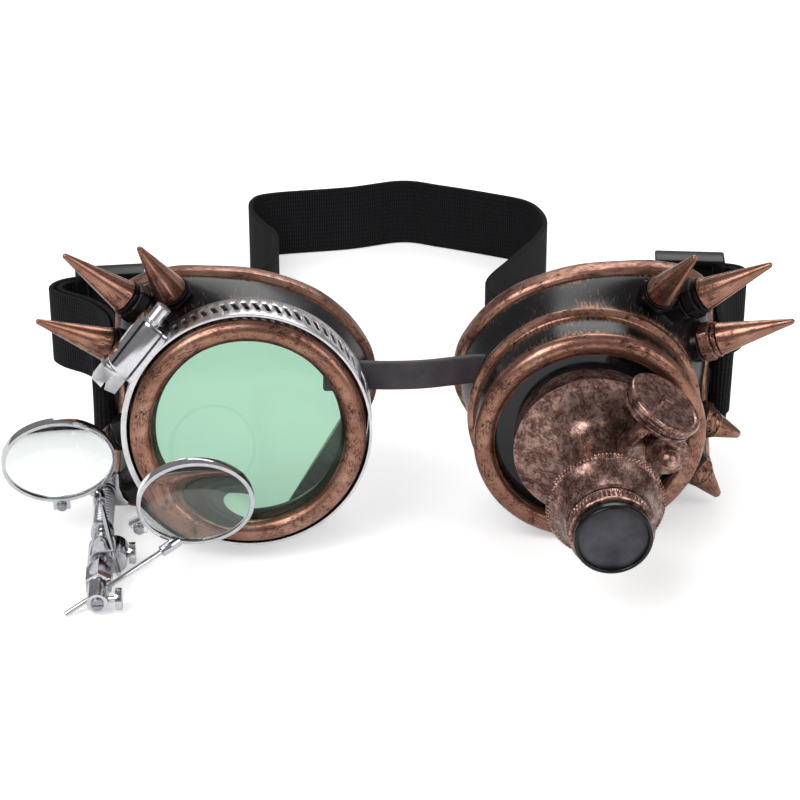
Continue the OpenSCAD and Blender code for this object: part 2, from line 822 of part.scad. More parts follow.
module nose_strap() {
    color("#3a353a") union() {
        nose_ribbon(0);
        cup_left() translate([0, 0, -17]) linear_extrude(height = 2)
            polygon([[16.2, 3.6], [25, 3.6], [25, 8.5], [22, 14], [16.2, 14]]);
        cup_right() translate([0, 0, -17]) linear_extrude(height = 2)
            polygon([[-18.4, 4], [-24.6, 4], [-24.6, 9.6], [-20.6, 16], [-18.4, 16]]);
    }
}

wrap_r = bar_r + 0.3 + strap_t / 2;
low = strap_w / 2 - origin_z;
layer_gap = strap_t + 0.6;
bar_right = in_world(right_c, right_pitch, right_yaw, [bar_u, 0, bar_a]);
bar_left = in_world(left_c, left_pitch, left_yaw, [-bar_u, 0, bar_a]);
strap_right = [[79.6, 50, 32.4], [80.6, 60, 34], [84.6, 67, 35.4], [88.6, 72, 36],
    [88.4, 77.4, 36], [83, 79.8, 36], [74.5, 80, 36]];
strap_back = [[66, 81.4, 36], [56, 86, 32.5], [44, 95, 23.5], [33, 107, 15],
    [24.5, 116, 11.6], [21, 124, low], [22, 133, low], [29, 148, low], [37, 165, low],
    [41, 178, low], [40, 190, low], [35.6, 199, low], [26, 205, low], [8, 213.5, low],
    [-5, 218, low], [-23, 211.5, low], [-48, 206, low], [-54, 200, low], [-53.5, 189, low],
    [-49, 178, low], [-45, 169, low], [-44.6, 156, low], [-47, 142, low], [-58, 126, 12],
    [-69, 106, 19.6], [-73, 93, 28.6], [-78, 84.4, 31.2]];
strap_left = [[-86.3, 82.3, 31], [-94, 82.2, 31], [-99.6, 79.6, 31], [-101.6, 74.8, 31],
    [-98.4, 70, 31], [-91.5, 65, 31], [-86, 58, 31], [-83.2, 50, 31], [-82.6, 41, 31.3]];
function turn_of(d) = atan2(d[1], d[0]);
right_heading = turn_of(strap_right[0] - bar_right) - 7;
left_heading = turn_of(strap_left[8] - bar_left) + 7;
function round_bar(c, h) = [for (k = [-90:30:90])
    [c[0] + wrap_r * cos(h + 180 + k), c[1] + wrap_r * sin(h + 180 + k), c[2]]];
wrap_right = round_bar(bar_right, right_heading);
wrap_left = round_bar(bar_left, left_heading);
outer_right = open_curve(concat([wrap_right[6]], strap_right), 3);
outer_left = open_curve(concat(strap_left, [wrap_left[0]]), 3);
function beside(p, i, d) = let (t = tangent(p, i), n = unit([-t[1], t[0], 0]))
    p[i] + d * n;
function inner_gap(i) = i < 4 ? 2 * wrap_r - (2 * wrap_r - layer_gap) * i / 4 : layer_gap;
last = len(outer_right) - 1;
inner_right = [for (i = [last:-1:1]) beside(outer_right, i, inner_gap(i))];
inner_left = [for (i = [len(outer_left) - 2:-1:0])
    beside(outer_left, i, inner_gap(len(outer_left) - 1 - i))];
strap_path = concat(inner_right, wrap_right, [for (i = [1:last - 1]) outer_right[i]],
    open_curve(concat([strap_right[6]], strap_back, [strap_left[0]]), 3),
    [for (i = [1:len(outer_left) - 2]) outer_left[i]], wrap_left, inner_left);
function strap_up(p) = let (r = min(norm(p - bar_right) / 25, 1),
    l = min(norm(p - bar_left) / 25, 1),
    u = r < 1 ? (1 - r) * axis_v(right_pitch, right_yaw)
        : (1 - l) * axis_v(left_pitch, left_yaw))
    unit(u + (r < 1 ? r : l) * [0, 0, 1]);
function strap_ring(p, i) = let (t = tangent(p, i), q = strap_up(p[i]),
    w = unit(q - (q * t) * t), n = cross(w, t),
    c = [p[i][0], p[i][1], max(p[i][2], low)])
    [c + strap_t / 2 * n + strap_w / 2 * w, c - strap_t / 2 * n + strap_w / 2 * w,
    c - strap_t / 2 * n - strap_w / 2 * w, c + strap_t / 2 * n - strap_w / 2 * w];

module head_strap() {
    color("#1c1a1e") world()
        skin([for (i = [0:len(strap_path) - 1]) strap_ring(strap_path, i)]);
}

// Slider frame: x along the strap, y away from the camera, z up
module slider() {
    side = layer_gap + strap_t / 2 + 0.45;
    rail = strap_w / 2 + 0.8;
    difference() {
        translate([-slider_l / 2, -side - 1.5, -slider_h / 2])
            cube([slider_l, 1.5, slider_h]);
        translate([-slider_l / 2 + 3.4, -side - 3, -rail])
            cube([slider_l - 6.8, 5, 2 * rail]);
    }
    for (s = [-1, 1])
        translate([-slider_l / 2, -side - 1.5, s > 0 ? rail : -slider_h / 2])
            cube([slider_l, side + strap_t / 2 + 3.3, slider_h / 2 - rail]);
    translate([-1.7, strap_t / 2 + 0.45, -slider_h / 2]) cube([3.4, 1.35, slider_h]);
}

module strap_slider_left() {
    color("#202024") world() translate(strap_left[0]) rotate([0, 0, 8]) slider();
}

module strap_slider_right() {
    color("#202024") world() translate(strap_right[6]) rotate([0, 0, -4.5]) slider();
}

module strap_bars() {
    color("#9a9aa0") {
        cup_right() translate([bar_u, 0, bar_a]) rotate([90, 0, 0])
            cylinder(r = bar_r, h = 2 * ear_v + 3, center = true);
        cup_left() translate([-bar_u, 0, bar_a]) rotate([90, 0, 0])
            cylinder(r = bar_r, h = 2 * ear_v + 3, center = true);
    }
}

left_cup_shell();
left_lens();
left_lens_ring();
left_lens_gasket();
left_spikes();
left_spike_nuts();
left_spike_collars();
left_spike_screws();
clamp_band();
clamp_housing();
clamp_screw();
right_cup_shell();
right_lens();
right_lens_ring();
right_lens_gasket();
right_spikes();
right_spike_nuts();
right_spike_collars();
right_spike_screws();
ocular_bell();
focus_ring();
eyepiece_rim();
eyepiece_lens();
side_disc();
side_drum();
disc_arbor();
drum_strut();
side_post();
post_nut();
clip_rod();
rod_collar();
clip_spring();
sliding_jaw();
fixed_jaw();
jaw_nut();
block_1();
thumb_screw_1();
arm_1();
loupe_rim_1();
loupe_lens_1();
rim_lock_1();
block_2();
thumb_screw_2();
end_screw_2();
arm_2();
loupe_rim_2();
loupe_lens_2();
rim_lock_2();
nose_strap();
head_strap();
strap_slider_left();
strap_slider_right();
strap_bars();
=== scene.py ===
"""Steampunk goggles: the dressed model, on a pale floor, from the photograph's viewpoint.

Everything is in metres in the row frame. Sizes are written in millimetres and
turned to metres where a mesh is made.
"""

import logging
import math
from dataclasses import dataclass, field
from enum import Enum
from typing import Any, Optional, Sequence

import bpy
import numpy as np
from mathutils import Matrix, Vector

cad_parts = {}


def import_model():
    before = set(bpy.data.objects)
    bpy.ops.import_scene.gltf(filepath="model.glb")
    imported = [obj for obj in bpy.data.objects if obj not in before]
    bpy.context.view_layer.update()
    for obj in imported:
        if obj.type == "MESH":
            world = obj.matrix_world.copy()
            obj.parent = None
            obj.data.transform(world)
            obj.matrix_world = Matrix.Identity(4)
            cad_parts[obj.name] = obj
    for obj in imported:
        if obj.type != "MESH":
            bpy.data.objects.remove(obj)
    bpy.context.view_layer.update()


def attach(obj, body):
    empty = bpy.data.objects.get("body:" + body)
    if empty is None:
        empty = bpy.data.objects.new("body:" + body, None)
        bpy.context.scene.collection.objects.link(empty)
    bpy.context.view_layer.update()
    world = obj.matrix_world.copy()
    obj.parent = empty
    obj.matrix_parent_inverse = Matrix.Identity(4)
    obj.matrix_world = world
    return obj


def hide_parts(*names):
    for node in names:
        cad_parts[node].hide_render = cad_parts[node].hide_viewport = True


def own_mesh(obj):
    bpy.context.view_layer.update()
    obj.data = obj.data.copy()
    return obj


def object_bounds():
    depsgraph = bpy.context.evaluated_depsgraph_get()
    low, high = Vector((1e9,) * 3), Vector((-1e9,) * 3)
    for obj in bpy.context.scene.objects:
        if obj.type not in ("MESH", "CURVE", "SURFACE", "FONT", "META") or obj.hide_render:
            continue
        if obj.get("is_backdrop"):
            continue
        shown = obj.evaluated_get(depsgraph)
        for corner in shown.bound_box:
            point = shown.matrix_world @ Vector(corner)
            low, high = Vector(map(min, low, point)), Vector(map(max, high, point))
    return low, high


LOG = logging.getLogger("goggles")
MM = 0.001
SHIFT = np.array([5.9, -88.6, 0.4])


class Grain(Enum):
    """Where a finish takes its pattern's coordinates from."""

    OBJECT = "Object"
    SURFACE = "UV"


# Small tools


def linear(hex_colour: str) -> tuple[float, float, float, float]:
    """Turn an sRGB hex colour into linear RGBA.

    Args:
        hex_colour: Six hex digits after a hash.

    Returns:
        Linear red, green, blue and an alpha of 1.
    """
    raw = np.array([int(hex_colour[i : i + 2], 16) for i in (1, 3, 5)]) / 255.0
    lin = np.where(raw <= 0.04045, raw / 12.92, ((raw + 0.055) / 1.055) ** 2.4)
    return (float(lin[0]), float(lin[1]), float(lin[2]), 1.0)


def add_node(
    tree: bpy.types.NodeTree,
    kind: str,
    settings: Optional[dict[Any, Any]] = None,
    links: Optional[dict[Any, bpy.types.NodeSocket]] = None,
) -> bpy.types.Node:
    """Add one node with its settings and incoming links.

    Args:
        tree: The node tree.
        kind: The node's type name.
        settings: Node properties by name, or input values by socket name or index.
        links: Source sockets by input name or index.

    Returns:
        The new node.
    """
    node = tree.nodes.new(kind)
    for key, value in (settings or {}).items():
        if isinstance(key, str) and hasattr(node, key):
            setattr(node, key, value)
        else:
            node.inputs[key].default_value = value
    for key, source in (links or {}).items():
        tree.links.new(source, node.inputs[key])
    return node


def ramp(
    tree: bpy.types.NodeTree, source: bpy.types.NodeSocket, stops: Sequence[tuple[float, str]]
) -> bpy.types.NodeSocket:
    """Colour ramp through hex colours.

    Args:
        tree: The node tree.
        source: The factor.
        stops: Position and hex colour of each stop.

    Returns:
        The colour output.
    """
    node = add_node(tree, "ShaderNodeValToRGB", links={"Fac": source})
    band = node.color_ramp
    while len(band.elements) < len(stops):
        band.elements.new(0.5)
    for element, (place, colour) in zip(band.elements, stops):
        element.position = place
        element.color = linear(colour)
    return node.outputs["Color"]


# Frames and surfaces


@dataclass(frozen=True)
class Frame:
    """A place with three axes, in millimetres in the row frame."""

    origin: np.ndarray
    x: np.ndarray
    y: np.ndarray
    z: np.ndarray

    def put(self, points: np.ndarray) -> np.ndarray:
        """Local points to row-frame points: origin plus each coordinate times its axis."""
        return self.origin + points @ np.stack([self.x, self.y, self.z])

    def moved(self, u: float, v: float, a: float) -> "Frame":
        """The same axes at another local point."""
        return Frame(self.put(np.array([u, v, a])), self.x, self.y, self.z)

    def turned(self, bearing: float, slope: float) -> "Frame":
        """A frame here whose z points at a bearing in the xy plane and a slope above it.

        Args:
            bearing: Degrees from x towards y.
            slope: Degrees above the xy plane.

        Returns:
            The turned frame, its y level in the old frame.
        """
        b, s = math.radians(bearing), math.radians(slope)
        z = np.array([math.cos(s) * math.cos(b), math.cos(s) * math.sin(b), math.sin(s)])
        y = np.array([-math.sin(b), math.cos(b), 0.0])
        axes = np.stack([self.x, self.y, self.z])
        return Frame(self.origin, np.cross(y, z) @ axes, y @ axes, z @ axes)

    def mirrored(self) -> "Frame":
        """The frame with its x axis reversed, for the other hand."""
        return Frame(self.origin, -self.x, self.y, self.z)


WORLD = Frame(SHIFT, np.array([1.0, 0, 0]), np.array([0, 1.0, 0]), np.array([0, 0, 1.0]))


def cup_frame(centre: Sequence[float], pitch: float, yaw: float) -> Frame:
    """Frame of an eyecup: u across, v up, a along the axis to the front.

    Args:
        centre: Ring centre before the shift.
        pitch: Upward tilt in degrees.
        yaw: Turn about the vertical in degrees.

    Returns:
        The cup's frame.
    """
    p, y = math.radians(pitch), math.radians(yaw)
    u = np.array([math.cos(y), math.sin(y), 0.0])
    v = np.array([-math.sin(p) * math.sin(y), math.sin(p) * math.cos(y), math.cos(p)])
    return Frame(np.array(centre) + SHIFT, u, v, np.cross(u, v))


LEFT = cup_frame((-43.0, 0.0, 34.1), 4.6, 1.7)
RIGHT = cup_frame((42.1, 7.2, 29.2), -4.4, 2.6)


def spline(points: np.ndarray, steps: int, closed: bool = False) -> np.ndarray:
    """Smooth curve through points.

    Each stretch is the cubic whose slope at a point is half the chord between its
    neighbours, worked out for all stretches at once.

    Args:
        points: Control points, one a row.
        steps: Samples for each stretch.
        closed: Whether the curve closes on itself.

    Returns:
        The samples, with the last point added on an open curve.
    """
    p = np.asarray(points, float)
    if closed:
        a, b, c, d = np.roll(p, 1, 0), p, np.roll(p, -1, 0), np.roll(p, -2, 0)
    else:
        q = np.vstack([p[:1], p, p[-1:]])
        a, b, c, d = q[:-3], q[1:-2], q[2:-1], q[3:]
    t = (np.arange(steps) / steps)[None, :, None]
    a, b, c, d = (k[:, None, :] for k in (a, b, c, d))
    s = 0.5 * (2 * b + (c - a) * t + (2 * a - 5 * b + 4 * c - d) * t**2
               + (3 * b - a - 3 * c + d) * t**3)
    flat = s.reshape(-1, p.shape[1])
    return flat if closed else np.vstack([flat, p[-1:]])


def rounded(profile: Sequence[Sequence[float]], radius: float = 0.25, steps: int = 3) -> np.ndarray:
    """Closed profile with every corner cut back by a small curve.

    Each corner becomes a quadratic curve between two points that lie up to the
    radius away along its sides.

    Args:
        profile: Corners of the closed outline.
        radius: How far along each side the curve starts.
        steps: Segments in each corner.

    Returns:
        The outline's points.
    """
    p = np.asarray(profile, float)
    before, after = np.roll(p, 1, 0) - p, np.roll(p, -1, 0) - p
    lb, la = np.linalg.norm(before, axis=1), np.linalg.norm(after, axis=1)
    cut = np.minimum(radius, 0.45 * np.minimum(lb, la))[:, None]
    start, end = p + before / lb[:, None] * cut, p + after / la[:, None] * cut
    t = np.linspace(0, 1, steps + 1)[None, :, None]
    curve = (1 - t) ** 2 * start[:, None] + 2 * t * (1 - t) * p[:, None] + t**2 * end[:, None]
    return curve.reshape(-1, 2)


def grid_faces(rows: int, cols: int, wrap_rows: bool, wrap_cols: bool) -> np.ndarray:
    """Quads of a grid of points, rows by columns.

    Args:
        rows: Number of rows.
        cols: Number of columns.
        wrap_rows: Whether the last row joins the first.
        wrap_cols: Whether the last column joins the first.

    Returns:
        Vertex numbers, four a face.
    """
    i = np.arange(rows if wrap_rows else rows - 1)[:, None]
    j = np.arange(cols if wrap_cols else cols - 1)[None, :]
    ni, nj = (i + 1) % rows, (j + 1) % cols
    corners = [np.broadcast_to(a * cols + b, (len(i), j.shape[1])) for a, b in
               ((i, j), (i, nj), (ni, nj), (ni, j))]
    return np.stack(corners, -1).reshape(-1, 4)


@dataclass
class Surface:
    """Vertices in millimetres, faces, and each face's grain coordinates in millimetres."""

    points: np.ndarray
    faces: list[Sequence[int]]
    grain: np.ndarray
    slots: np.ndarray
    wear: Optional[np.ndarray] = None

    @staticmethod
    def joined(parts: Sequence["Surface"]) -> "Surface":
        """Several surfaces as one, without merging their points."""
        base, faces = 0, []
        for part in parts:
            faces += [[k + base for k in f] for f in part.faces]
            base += len(part.points)
        return Surface(np.vstack([p.points for p in parts]), faces,
                       np.vstack([p.grain for p in parts]),
                       np.concatenate([p.slots for p in parts]))


def tube_surface(rings: np.ndarray, close_ends: bool = True, wrap: bool = False,
                 ring_first: bool = False) -> Surface:
    """Skin over closed rings of points.

    Grain runs along the travel from ring to ring (second coordinate) and across it
    round the ring (first coordinate), each measured as summed chord lengths.

    Args:
        rings: Array of rings by points by three.
        close_ends: Whether flat caps close the two ends.
        wrap: Whether the last ring joins the first.
        ring_first: Whether grain runs round the ring instead.

    Returns:
        The surface.
    """
    n, m, _ = rings.shape
    faces = grid_faces(n, m, wrap, True)
    around = np.linalg.norm(np.roll(rings, -1, 1) - rings, axis=2).mean(0)
    along = np.linalg.norm(np.roll(rings, -1, 0) - rings, axis=2).mean(1)
    s = np.concatenate([[0], np.cumsum(around)])
    t = np.concatenate([[0], np.cumsum(along)])
    i = np.arange(n if wrap else n - 1)[:, None]
    j = np.arange(m)[None, :]
    corners = [(np.broadcast_to(s[b], (len(i), m)), np.broadcast_to(t[a], (len(i), m)))
               for a, b in ((i, j), (i, j + 1), (i + 1, j + 1), (i + 1, j))]
    grain = np.stack([np.stack(c, -1) for c in corners], 2).reshape(-1, 2)
    listed: list[Sequence[int]] = faces.tolist()
    if close_ends and not wrap:
        first, final = list(range(m)), list(range((n - 1) * m, n * m))
        listed += [first[::-1], final]
        flat = rings[[0, -1]] - rings[[0, -1]].mean(1, keepdims=True)
        cap = np.stack([flat[..., 0], flat[..., 1] + flat[..., 2]], -1)
        grain = np.vstack([grain, cap[0][::-1], cap[1]])
    if ring_first:
        grain = grain[:, ::-1]
    return Surface(rings.reshape(-1, 3), listed, grain, np.zeros(len(listed), int))


def revolved(frame: Frame, profile: np.ndarray, sides: int = 96,
             brushed_round: bool = True) -> Surface:
    """Closed profile of radius and height turned about a frame's z axis.

    Each point's place is radius times the cosine and sine of the turn, and its height.

    Args:
        frame: Where the axis stands.
        profile: Radius and height pairs of a closed outline.
        sides: Steps round the axis.
        brushed_round: Whether the grain runs round the axis.

    Returns:
        The surface.
    """
    turn = np.linspace(0, 2 * np.pi, sides, endpoint=False)
    r, z = profile[:, 0][None, :], profile[:, 1][None, :]
    local = np.stack([r * np.cos(turn)[:, None], r * np.sin(turn)[:, None],
                      np.broadcast_to(z, (sides, len(profile)))], -1)
    return tube_surface(frame.put(local), wrap=True, ring_first=not brushed_round)


def solid_turned(frame: Frame, side: Sequence[Sequence[float]], sides: int = 64,
                 radius: float = 0.25, brushed_round: bool = False) -> Surface:
    """A turned solid from its side line, bottom to top, closed with a tiny core.

    Args:
        frame: Where the axis stands.
        side: Radius and height pairs from bottom to top.
        sides: Steps round the axis.
        radius: Corner rounding.
        brushed_round: Whether the grain runs round the axis.

    Returns:
        The surface.
    """
    core = 0.02
    outline = [[core, side[0][1]], *side, [core, side[-1][1]]]
    return revolved(frame, rounded(outline, radius), sides, brushed_round)


def flat_band(path: np.ndarray, up: np.ndarray, width: float, thickness: float,
              round_off: float, crown: float = 0.0) -> Surface:
    """A flat strap carried along a path.

    Its section is a rectangle with curved corners, in the plane of the up direction
    and the cross product of up and the path's direction.

    Args:
        path: Centre points.
        up: Direction of the width at each point.
        width: Size along up.
        thickness: The other size.
        round_off: Corner rounding.
        crown: Extra thickness at the middle.

    Returns:
        The surface.
    """
    t = np.gradient(path, axis=0)
    t /= np.linalg.norm(t, axis=1, keepdims=True)
    w = up - (up * t).sum(1, keepdims=True) * t
    w /= np.linalg.norm(w, axis=1, keepdims=True)
    n = np.cross(w, t)
    h, b = thickness / 2, width / 2
    corner = rounded([[h, b], [-h, b], [-h, -b], [h, -b]], round_off, 3)
    fine = []
    for a, c in zip(corner, np.roll(corner, -1, 0)):
        steps = max(1, int(abs(c[1] - a[1]) / 1.5))
        fine += [a + (c - a) * k / steps for k in range(steps)]
    section = np.array(fine)
    section[:, 0] *= 1 + crown * (1 - (section[:, 1] / b) ** 2)
    rings = (path[:, None] + section[None, :, :1] * n[:, None]
             + section[None, :, 1:] * w[:, None])
    return tube_surface(rings)


def make_piece(name: str, surface: Surface, materials: Sequence[bpy.types.Material],
               body: str, nodes: Sequence[str],
               smooth_angle: float = 32.0) -> bpy.types.Object:
    """Turn a surface into a piece that rides on a body.

    Args:
        name: The piece's name.
        surface: Its shape in millimetres.
        materials: Its materials in slot order.
        body: The body that carries it.
        nodes: The CAD nodes it stands for.
        smooth_angle: Edges sharper than this stay crisp.

    Returns:
        The object.
    """
    mesh = bpy.data.meshes.new(name)
    mesh.from_pydata((surface.points * MM).tolist(), [], [list(f) for f in surface.faces])
    layer = mesh.uv_layers.new(name="grain")
    layer.data.foreach_set("uv", surface.grain.astype(np.float32).ravel())
    wear = surface.wear if surface.wear is not None else np.zeros(len(surface.points))
    mesh.attributes.new("wear", "FLOAT", "POINT").data.foreach_set(
        "value", wear.astype(np.float32))
    for material in materials:
        mesh.materials.append(material)
    mesh.polygons.foreach_set("material_index", surface.slots.astype(np.int32))
    mesh.polygons.foreach_set("use_smooth", np.ones(len(mesh.polygons), bool))
    mesh.update()
    obj = bpy.data.objects.new(name, mesh)
    bpy.context.scene.collection.objects.link(obj)
    split = obj.modifiers.new("crisp_edges", "EDGE_SPLIT")
    split.split_angle = math.radians(smooth_angle)
    point_outwards(mesh)
    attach(obj, body)
    if nodes:
        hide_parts(*nodes)
    LOG.info("%s: %d faces on %s", name, len(mesh.polygons), body)
    return obj


def point_outwards(mesh: bpy.types.Mesh) -> None:
    """Flip a closed mesh whose signed volume is negative.

    The volume is a sixth of the sum, over fans of each face, of the triple product of
    the corners.

    Args:
        mesh: The mesh.
    """
    mesh.calc_loop_triangles()
    co = np.zeros(len(mesh.vertices) * 3)
    mesh.vertices.foreach_get("co", co)
    co = co.reshape(-1, 3)
    tri = np.zeros(len(mesh.loop_triangles) * 3, np.int32)
    mesh.loop_triangles.foreach_get("vertices", tri)
    tri = tri.reshape(-1, 3)
    a, b, c = co[tri[:, 0]], co[tri[:, 1]], co[tri[:, 2]]
    if float(np.einsum("ij,ij->i", a, np.cross(b, c)).sum()) < 0:
        mesh.flip_normals()


# Finishes


@dataclass(frozen=True)
class Finish:
    """What every finish has: its name, where its grain comes from, and its gloss."""

    name: str
    grain: Grain = Grain.OBJECT
    metallic: float = 0.0
    roughness: float = 0.5

    def begin(self) -> tuple[bpy.types.Material, bpy.types.NodeTree, bpy.types.Node,
                             bpy.types.NodeSocket]:
        """Make the material, its shader and its coordinates in millimetres.

        Returns:
            Material, node tree, shader node, and coordinate socket.
        """
        material = bpy.data.materials.new(self.name)
        material.use_nodes = True
        tree = material.node_tree
        tree.nodes.clear()
        shader = add_node(tree, "ShaderNodeBsdfPrincipled",
                          {"Metallic": self.metallic, "Roughness": self.roughness})
        add_node(tree, "ShaderNodeOutputMaterial", links={"Surface": shader.outputs[0]})
        place = add_node(tree, "ShaderNodeTexCoord")
        size = 1000.0 if self.grain is Grain.OBJECT else 1.0
        scaled = add_node(tree, "ShaderNodeMapping", {"Scale": (size, size, size)},
                          {"Vector": place.outputs[self.grain.value]})
        return material, tree, shader, scaled.outputs["Vector"]

    def noise(self, tree: bpy.types.NodeTree, place: bpy.types.NodeSocket,
              size: Sequence[float], detail: float = 6.0, rough: float = 0.6,
              warp: float = 0.0) -> bpy.types.NodeSocket:
        """Noise whose grains have a given size in millimetres along each axis.

        Args:
            tree: The node tree.
            place: Coordinates in millimetres.
            size: Grain size along each axis.
            detail: Octaves.
            rough: How strong the small octaves are.
            warp: Distortion.

        Returns:
            The noise value.
        """
        scaled = add_node(tree, "ShaderNodeMapping",
                          {"Scale": tuple(1.0 / s for s in size)}, {"Vector": place})
        return add_node(tree, "ShaderNodeTexNoise",
                        {"Scale": 1.0, "Detail": detail, "Roughness": rough,
                         "Distortion": warp},
                        {"Vector": scaled.outputs["Vector"]}).outputs["Fac"]

    def bump(self, tree: bpy.types.NodeTree, shader: bpy.types.Node,
             height: bpy.types.NodeSocket, depth: float, strength: float = 0.5) -> None:
        """Relief on the shader.

        Args:
            tree: The node tree.
            shader: The shader node.
            height: Height from 0 to 1.
            depth: Depth in millimetres.
            strength: How strongly it shows.
        """
        node = add_node(tree, "ShaderNodeBump", {"Strength": strength, "Distance": depth * MM},
                        {"Height": height})
        tree.links.new(node.outputs["Normal"], shader.inputs["Normal"])

    def spread(self, tree: bpy.types.NodeTree, shader: bpy.types.Node,
               source: bpy.types.NodeSocket, low: float, high: float) -> None:
        """Roughness that varies with a value between two levels."""
        node = add_node(tree, "ShaderNodeMapRange", {"To Min": low, "To Max": high},
                        {"Value": source})
        tree.links.new(node.outputs["Result"], shader.inputs["Roughness"])

    def blend(self, tree: bpy.types.NodeTree, factor: bpy.types.NodeSocket,
              first: Any, second: Any, mode: str = "MIX") -> bpy.types.NodeSocket:
        """Mix two colours, each a socket or a hex colour."""
        node = add_node(tree, "ShaderNodeMix", {"data_type": "RGBA", "blend_type": mode},
                        {0: factor})
        for index, value in ((6, first), (7, second)):
            if isinstance(value, str):
                node.inputs[index].default_value = linear(value)
            else:
                tree.links.new(value, node.inputs[index])
        return node.outputs[2]


@dataclass(frozen=True)
class AntiqueCopper(Finish):
    """Copper plate, blackened and then rubbed back: warm streaks over dark pits."""

    streak: Sequence[float] = (0.35, 5.0, 0.35)
    blot: float = 5.0
    dark: str = "#201411"
    middle: str = "#82574a"
    bright: str = "#b38470"
    top: str = "#d8ae99"
    cover: float = 0.42
    onset: float = 0.25
    black_at: float = 0.46

    def material(self) -> bpy.types.Material:
        """Build the copper: satin tones, with black scratches gathered in patches."""
        made, tree, shader, place = self.begin()
        streak = self.noise(tree, place, self.streak, 8.0, 0.72)
        blot = self.noise(tree, place, (self.blot,) * 3, 5.0, 0.6, 0.6)
        tone = self.noise(tree, place, (self.blot * 2.2,) * 3, 3.0, 0.5)
        both = add_node(tree, "ShaderNodeMath", {"operation": "MULTIPLY_ADD", 1: 0.7},
                        {0: blot, 2: streak})
        black = add_node(tree, "ShaderNodeMapRange",
                         {"From Min": self.cover + self.onset,
                          "From Max": self.cover + self.black_at},
                         {"Value": both.outputs[0]})
        soft = self.blend(tree, streak, self.middle, self.bright)
        warm = ramp(tree, tone, ((0.3, self.middle), (0.52, self.bright), (0.72, self.top)))
        satin = self.blend(tree, tone, soft, warm)
        colour = self.blend(tree, black.outputs["Result"], self.dark, satin)
        tree.links.new(colour, shader.inputs["Base Color"])
        self.spread(tree, shader, black.outputs["Result"], 0.6, self.roughness)
        self.bump(tree, shader, both.outputs[0], 0.06, 0.35)
        return made


@dataclass(frozen=True)
class SmokedBody(Finish):
    """Moulded cup painted near black and rubbed with copper, which stays in scuffs."""

    ground: str = "#070606"
    lift: str = "#151112"
    rub: str = "#8c6855"
    scuff: float = 0.8

    def material(self) -> bpy.types.Material:
        """Build the paint: cloudy darks, with copper where fine noise passes a level."""
        made, tree, shader, place = self.begin()
        cloud = self.noise(tree, place, (14.0, 14.0, 14.0), 4.0, 0.6, 0.8)
        fine = self.noise(tree, place, (2.6, 0.55, 1.0), 8.0, 0.75, 0.3)
        worn = add_node(tree, "ShaderNodeAttribute", {"attribute_name": "wear"})
        base = ramp(tree, cloud, ((0.3, self.ground), (0.7, self.lift)))
        both = add_node(tree, "ShaderNodeMath", {"operation": "MULTIPLY_ADD", 1: 0.55},
                        {0: cloud, 2: fine})
        near = add_node(tree, "ShaderNodeMath", {"operation": "MULTIPLY_ADD", 1: 0.3},
                        {0: worn.outputs["Fac"], 2: both.outputs[0]})
        mask = add_node(tree, "ShaderNodeMapRange",
                        {"From Min": self.scuff + 0.1, "From Max": self.scuff + 0.26},
                        {"Value": near.outputs[0]})
        colour = self.blend(tree, mask.outputs["Result"], base, self.rub)
        tree.links.new(colour, shader.inputs["Base Color"])
        metal = add_node(tree, "ShaderNodeMath", {"operation": "MULTIPLY", 1: 0.85},
                         {0: mask.outputs["Result"]})
        tree.links.new(metal.outputs[0], shader.inputs["Metallic"])
        shader.inputs["Specular IOR Level"].default_value = 0.28
        self.spread(tree, shader, fine, 0.1, 0.36)
        self.bump(tree, shader, fine, 0.06, 0.3)
        return made


@dataclass(frozen=True)
class BrushedPlate(Finish):
    """Plated or plain steel: a fine brushed grain and faint handling marks."""

    light: str = "#e6e6ea"
    shade: str = "#9c9ca4"
    streak: Sequence[float] = (0.15, 3.0, 0.15)
    depth: float = 0.01

    def material(self) -> bpy.types.Material:
        """Build the plate: grain noise tints the colour and the roughness."""
        made, tree, shader, place = self.begin()
        grain = self.noise(tree, place, self.streak, 6.0, 0.6)
        marks = self.noise(tree, place, (3.0, 3.0, 3.0), 5.0, 0.7)
        value = add_node(tree, "ShaderNodeMath", {"operation": "MULTIPLY_ADD", 1: 0.5},
                         {0: marks, 2: grain})
        colour = ramp(tree, value.outputs[0], ((0.5, self.shade), (0.85, self.light)))
        tree.links.new(colour, shader.inputs["Base Color"])
        self.spread(tree, shader, value.outputs[0], self.roughness + 0.12,
                    self.roughness - 0.06)
        self.bump(tree, shader, grain, self.depth, 0.3)
        return made


@dataclass(frozen=True)
class TurnedBronze(Finish):
    """Bronze paint over a turned body: mottled brown with fine lathe lines."""

    dark: str = "#2c1d1b"
    middle: str = "#70524a"
    bright: str = "#b8968a"
    line: Sequence[float] = (0.9, 0.5, 1.0)

    def material(self) -> bpy.types.Material:
        """Build the bronze: mottling and stretched line noise share one ramp."""
        made, tree, shader, place = self.begin()
        mottle = self.noise(tree, place, (3.2, 3.2, 3.2), 9.0, 0.82, 0.2)
        line = self.noise(tree, place, self.line, 7.0, 0.75)
        value = add_node(tree, "ShaderNodeMath", {"operation": "MULTIPLY_ADD", 1: 0.5},
                         {0: line, 2: mottle})
        colour = ramp(tree, value.outputs[0],
                      ((0.54, self.dark), (0.64, "#4b3430"), (0.73, self.middle),
                       (0.86, self.bright)))
        tree.links.new(colour, shader.inputs["Base Color"])
        self.spread(tree, shader, value.outputs[0], 0.46, 0.2)
        self.bump(tree, shader, line, 0.04, 0.35)
        return made


